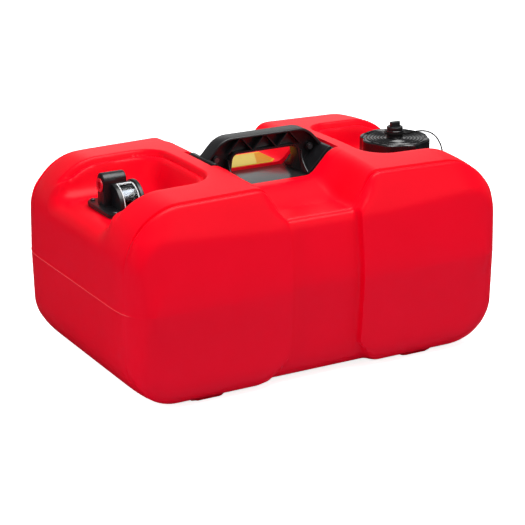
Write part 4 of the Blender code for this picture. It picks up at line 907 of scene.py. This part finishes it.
def makeLens():
    # a quarter of a ring; its cut sides and top edge carry a painted highlight: there the lens is
    # opaque and shows its pale base colour as pale lines
    shader, place = newLook("clearAcrylic", **{"Base Color": (0.90, 0.92, 0.93), "IOR": 1.20})
    haze = derive("TexNoise", Vector=place, Scale=300.0, Detail=2.0)
    feed(shader["Roughness"], derive("MapRange", haze, 0, 1, 0, 0.015))
    x, y, z = axes(place)
    (low, high), pale = lens["x"], lens["pale"]
    # painted highlight: a mask near the cut sides and the top edge, where transmission is turned off
    cut = reckon("MAXIMUM", reckon("LESS_THAN", x, low + pale),
                 reckon("GREATER_THAN", x, high - pale))
    cut = reckon("MAXIMUM", cut, reckon("GREATER_THAN", y, head["axis"][0] - 2 * pale))
    feed(shader["Transmission Weight"], reckon("SUBTRACT", 1.0, cut))
    inner = lens["outer"] - lens["thickness"]
    outline = np.concatenate([arc(head["axis"], lens["outer"], np.pi, quarter, 32),
                              arc(head["axis"], inner, quarter, np.pi, 32)])
    addPiece("gaugeLens", slab(outline, low, high, 0.0005, 0), "tank",
             "clearAcrylic", ("gauge_lens",))


makeLens()


def softened(node, look, edge):
    # a merged copy of a plain solid, with its sharp edges rounded over
    mesh = nodes[node].data.copy()
    form = bmesh.new()
    form.from_mesh(mesh)
    bmesh.ops.remove_doubles(form, verts=form.verts, dist=weld)
    bmesh.ops.dissolve_limit(form, angle_limit=math.radians(1.0), verts=form.verts,
                             edges=form.edges)
    form.to_mesh(mesh)
    form.free()
    body = next(name for name, members in bodies.items() if node in members)
    first, *words = node.split("_")
    name = first + "".join(word.capitalize() for word in words)
    bevel = addPiece(name, mesh, body, look, (node,), 35.0).modifiers.new("edges", "BEVEL")
    bevel.width, bevel.segments = edge, 2
    bevel.limit_method, bevel.angle_limit = "ANGLE", math.radians(30.0)


drum = {
    "from": 28.0, "to": 58.0,  # degrees up from the front
    "lean": 0.00013, "widen": 0.00032, "half": 0.0035,
    "dark": (0.008, 0.008, 0.010), "pale": (0.34, 0.38, 0.44),
}


def drumLook():
    # a white wedge on black, set by the angle round the drum's axis and the place along it
    shader, place = newLook("drumWedge", Roughness=0.35)
    x, y, z = axes(place)
    up, front = reckon("SUBTRACT", z, head["drum"][1]), reckon("SUBTRACT", head["drum"][0], y)
    angle = reckon("MULTIPLY", reckon("ARCTAN2", up, front), math.degrees(1))
    across = reckon("SUBTRACT", x, sum(head["chamber"]) / 2)
    across = reckon("MULTIPLY_ADD", reckon("SUBTRACT", drum["to"], angle), drum["lean"], across)
    wide = reckon("SUBTRACT", angle, drum["from"])
    wide = reckon("MULTIPLY_ADD", wide, drum["widen"], drum["half"])
    band = reckon("MULTIPLY", reckon("GREATER_THAN", angle, drum["from"]),
                  reckon("LESS_THAN", angle, drum["to"]))
    mask = reckon("MULTIPLY", band, reckon("LESS_THAN", reckon("ABSOLUTE", across), wide))
    feed(shader["Base Color"], mixed(mask, drum["dark"], drum["pale"]))


drumLook()
for node, look, edge in (
        ("gauge_drum", "drumWedge", 0.0002), ("gauge_gasket", "blackRubber", 0.0003),
        ("drum_shaft", "zincSteel", 0.0002), ("gauge_link", "drawnBrass", 0.0002),
        ("float_bracket", "zincSteel", 0.0003), ("float_pin", "zincSteel", 0.0002),
        ("float_arm", "zincSteel", 0.0002), ("pickup_tube", "drawnBrass", 0.0002),
        ("pickup_strainer", "whiteAcetal", 0.0003), ("cap_liner", "blackCap", 0.0003),
        ("cap_gasket", "blackRubber", 0.0003), ("vent_seal", "blackRubber", 0.0003),
        ("tether_ring", "strapPlastic", 0.0003), ("tether_anchor", "strapPlastic", 0.0004),
        ("handle_pin_left", "dullZinc", 0.0003), ("handle_pin_right", "dullZinc", 0.0003)):
    softened(node, look, edge)
print("gauge works and small parts dressed")

screw = {"radius": 0.0018, "head": 0.0038, "height": 0.0022, "dome": 0.0016, "washer": 0.0003,
         "tip": 0.2434, "slotHalf": 0.0005, "slotReach": 0.0022, "slotDeep": 0.0010}


def makeScrews():
    # a pan head with a crossed recess, turned from one profile
    s = screw
    seat, dome, slot = head["top"] + s["washer"], s["dome"], (s["slotReach"], s["slotHalf"])
    high = seat + s["height"]
    profile = [(0.0, s["tip"]), (s["radius"], s["tip"]), (s["radius"], seat), (s["head"], seat),
               *arc((s["head"] - dome, high - dome), dome, 0, quarter, 5), (0.0, high)]
    for k, (x, y) in enumerate(fixings, start=1):
        cross = [block((x - u, y - v, high - s["slotDeep"]), (x + u, y + v, high + 0.002))
                 for u, v in (slot, slot[::-1])]
        mesh = carve(turned(profile, 2, (x, y), 32), cross, "DIFFERENCE")
        addPiece("gaugeScrew%d" % k, mesh, "tank", "dullZinc", ("gauge_screw_%d" % k,))


makeScrews()

plug = {"face": -0.2576, "flange": 0.0100, "thick": 0.0022, "stem": 0.0082, "end": -0.2509,
        "recess": 0.0055, "deep": 0.0060, "edge": 0.0004, "rim": 0.0005, "round": 0.0007}


def makePlug():
    # one closed profile round the port's axis: flange, stem and the blind hole in its face
    p = plug
    edge, rim, corner = p["edge"], p["rim"], p["round"]
    front = p["face"] - p["thick"]
    profile = [(0.0, front + p["deep"]), (p["recess"] - edge, front + p["deep"]),
               (p["recess"], front + p["deep"] - edge), (p["recess"], front + rim),
               (p["recess"] + rim, front), (p["flange"] - corner, front),
               (p["flange"] - 0.0002, front + 0.0002), (p["flange"], front + corner),
               (p["flange"], p["face"] - edge), (p["flange"] - edge, p["face"]),
               (p["stem"], p["face"]), (p["stem"], p["end"] - rim), (p["stem"] - rim, p["end"]),
               (0.0, p["end"])]
    addPiece("outletPlug", turned(profile, 0, head["port"]), "plug", "redMoulded",
             ("outlet_plug",))


makePlug()

floatPart = {"radius": 0.014, "edge": 0.002}


def makeFloat():
    low, high = [np.array(corner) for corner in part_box("gauge_float")]
    middle = (low + high) / 2
    form = rod(0, (middle[1], middle[2]), floatPart["radius"], low[0], high[0], floatPart["edge"])
    addPiece("gaugeFloat", form, "float", "floatFoam", ("gauge_float",))


makeFloat()
print("screws, plug and float made")

cap = {
    "x": 0.236, "radius": 0.0545, "top": 0.2928, "low": 0.2618, "lobes": 8, "lobeDepth": 0.0040,
    "lobeFrom": 0.0445, "lobeFade": 0.007, "sharpness": 1.4,
    "inner": 0.0499, "roof": 0.003, "edge": 0.0030, "bore": 0.0028, "foot": 0.0008,
    "rings": (0.0185, 0.0235, 0.0285, 0.0335, 0.0385, 0.0435), "ringHeight": 0.0015,
    "ringHalf": 0.0012, "margin": 0.0475,
}


def makeCap():
    # a lobed shell of revolution; low rings stand on its top, each a raised cosine across
    c = cap
    radius, top, low, edge, inner = c["radius"], c["top"], c["low"], c["edge"], c["inner"]
    reach = np.linspace(c["bore"], radius - edge, 130)
    rise = sum(np.where(np.abs(reach - r) < c["ringHalf"],
                        0.5 + 0.5 * np.cos(np.pi * (reach - r) / c["ringHalf"]), 0)
               for r in c["rings"])
    margin = ease((reach - c["margin"]) / 0.0015)
    heights = top - c["ringHeight"] * (1 - np.where(reach > c["margin"], margin, rise))
    under = top - c["roof"]
    profile = [*zip(reach, heights), *arc((radius - edge, top - edge), edge, quarter, 0, 6)[1:],
               *[(radius, z) for z in np.linspace(top - 0.006, low + c["foot"], 6)],
               (radius - c["foot"], low), (inner + 0.0006, low), (inner, low + 0.0006),
               (inner, under), (c["bore"], under)]

    def lobes(turn, reach):
        # round grips with narrow valleys between them, fading out towards the top's middle
        valley = (0.5 - 0.5 * np.cos(c["lobes"] * turn)) ** c["sharpness"]
        fade = ease((reach - c["lobeFrom"]) / c["lobeFade"])
        return c["lobeDepth"] * valley * fade * np.where(reach > inner + 0.0005, 1, 0)

    addPiece("fillerCap", turned(profile, 2, (c["x"], 0.0), 192, lobes), "cap",
             "blackCap", ("fuel_cap",), 40.0)


makeCap()

collar = {"radius": 0.0137, "waist": 0.0122, "low": 0.2931, "high": 0.3043, "ribPitch": 0.0036,
          "shoulder": 0.2984, "groove": (0.29865, 0.30155), "bore": 0.0071, "neck": 0.0033}


def makeCollar():
    # ribs and waist as half-round swells along the profile, then down the bore
    c = collar
    wide, waist, (low, high) = c["radius"], c["waist"], c["groove"]
    z = np.linspace(c["low"], 0.29845, 28)
    ribs = waist + (wide - waist) * np.abs(np.cos(2 * np.pi * (z - c["low"]) / c["ribPitch"])) ** 0.5
    profile = [(c["bore"], c["low"]), *zip(ribs, z), (wide, 0.2986), (waist, low), (waist, high),
               (wide, 0.3016), (wide, c["high"] - 0.0005), (wide - 0.0005, c["high"]),
               (c["neck"], c["high"]), (c["neck"], c["shoulder"]), (c["bore"], c["shoulder"])]
    addPiece("ventCollar", turned(profile, 2, (cap["x"], 0.0), 72), "cap",
             "blackCap", ("vent_collar",))


makeCollar()

knob = {
    "low": 0.3046, "high": 0.3096, "radius": 0.0123, "rim": 0.0012, "foot": 0.0010,
    "ribs": 36, "ribDepth": 0.0004, "ribFrom": 0.0115,
    "wing": (0.00885, 0.0040, 0.3168), "wingCorner": 0.0030,
    "stem": (0.0030, 0.2956), "tip": (0.0016, 0.2931, 0.2960),
}


def makeKnob():
    # a ribbed flange, a rounded wing on top, and the stem that closes the vent
    k = knob
    middle, radius, low, top = (cap["x"], 0.0), k["radius"], k["low"], k["high"]
    profile = [(0.0, low), *arc((radius - k["foot"], low + k["foot"]), k["foot"], -quarter, 0, 4),
               *arc((radius - k["rim"], top - k["rim"]), k["rim"], 0, quarter, 4), (0.0, top)]

    def ribs(turn, reach):
        wave = 0.5 + 0.5 * np.cos(k["ribs"] * turn)
        return k["ribDepth"] * wave * np.where(reach > k["ribFrom"], 1, 0)

    wide, deep, high = k["wing"]
    rings = [lay(roundOutline(boxCorners(middle, (wide * (0.5 + share / 2), deep * share),
                                         k["wingCorner"] * share)), z, 2)
             for z, share in ((top - 0.001, 1.0), (top + 0.0012, 0.93), (high - 0.0016, 0.92),
                              (high - 0.0007, 0.90), (high - 0.0002, 0.85), (high, 0.78))]
    stem = rod(2, middle, *k["stem"], low + 0.002, 0.0002, 32)
    tip = rod(2, middle, *k["tip"], 0.0002, 24)
    mesh = carve(turned(profile, 2, middle, 144, ribs), [gridSolid(np.stack(rings)), stem, tip])
    addPiece("ventKnob", mesh, "vent_screw", "blackNylon", ("vent_knob",), 40.0)


makeKnob()
print("cap, collar and knob made")

studio = {
    "floor": (0.94, 0.94, 0.94), "floorReach": 14.0, "ambient": 0.25, "glow": 0.84,
    "mirrored": (0.04, 0.04, 0.04), "bounce": (0.55, 0.50, 0.85), "sky": 0.08,
    "aim": (0, 0, 0.15),
    # watts, size, place and whether reflections show it
    "overhead": (48.0, 1.5, (0.30, -0.52, 1.88), True),
    "left": (32.0, 1.4, (-2.5, -0.6, 1.2), False),
    "front": (5.0, 1.1, (1.25, -2.3, 1.15), True),
    "back": (3.6, 1.5, (1.1, 2.2, 1.15), True),
}


def makeFloor():
    # a pale floor, darker to reflections, which keeps the red deep; the camera alone sees a glow
    # added to it, so that it comes out white beyond the shadow
    reach = studio["floorReach"]
    mesh = bpy.data.meshes.new("floor")
    corners = [(-reach, -reach, 0), (reach, -reach, 0), (reach, reach, 0), (-reach, reach, 0)]
    mesh.from_pydata(corners, [], [(0, 1, 2, 3)])
    floor = addObject("floor", mesh)
    shader, place = newLook("paleFloor", Roughness=0.8, **{"Specular IOR Level": 0.1})
    rays = addNode(place.id_data, "ShaderNodeLightPath").outputs
    tone = mixed(rays["Is Glossy Ray"], studio["floor"], studio["mirrored"])
    feed(shader["Base Color"], mixed(rays["Is Diffuse Ray"], tone, studio["bounce"]))
    feed(shader["Emission Color"], (1, 1, 1))
    feed(shader["Emission Strength"], reckon("MULTIPLY", rays["Is Camera Ray"], studio["glow"]))
    mesh.materials.append(looks["paleFloor"])


def makeLights():
    # four soft lamps and an even world that the camera sees as white
    for name in ("overhead", "left", "front", "back"):
        power, size, spot, mirrored = studio[name]
        data = bpy.data.lights.new(name, "AREA")
        data.energy, data.size = power, size
        lamp = addObject(name, data)
        lamp.location = spot
        lamp.visible_glossy = mirrored
        towards = Vector(studio["aim"]) - Vector(spot)
        lamp.rotation_euler = towards.to_track_quat("-Z", "Y").to_euler()
    world = bpy.data.worlds.new("studio")
    bpy.context.scene.world = world
    world.use_nodes = True
    back = world.node_tree.nodes["Background"].inputs
    rays = addNode(world.node_tree, "ShaderNodeLightPath").outputs
    seen = reckon("MAXIMUM", rays["Is Camera Ray"], rays["Is Transmission Ray"])
    level = reckon("MAXIMUM", seen, reckon("MULTIPLY", rays["Is Glossy Ray"], studio["sky"]))
    feed(back["Color"], (1, 1, 1))
    feed(back["Strength"], reckon("MAXIMUM", level, studio["ambient"]))


makeFloor()
makeLights()
bpy.context.scene.view_settings.view_transform = "Standard"
print("studio made")
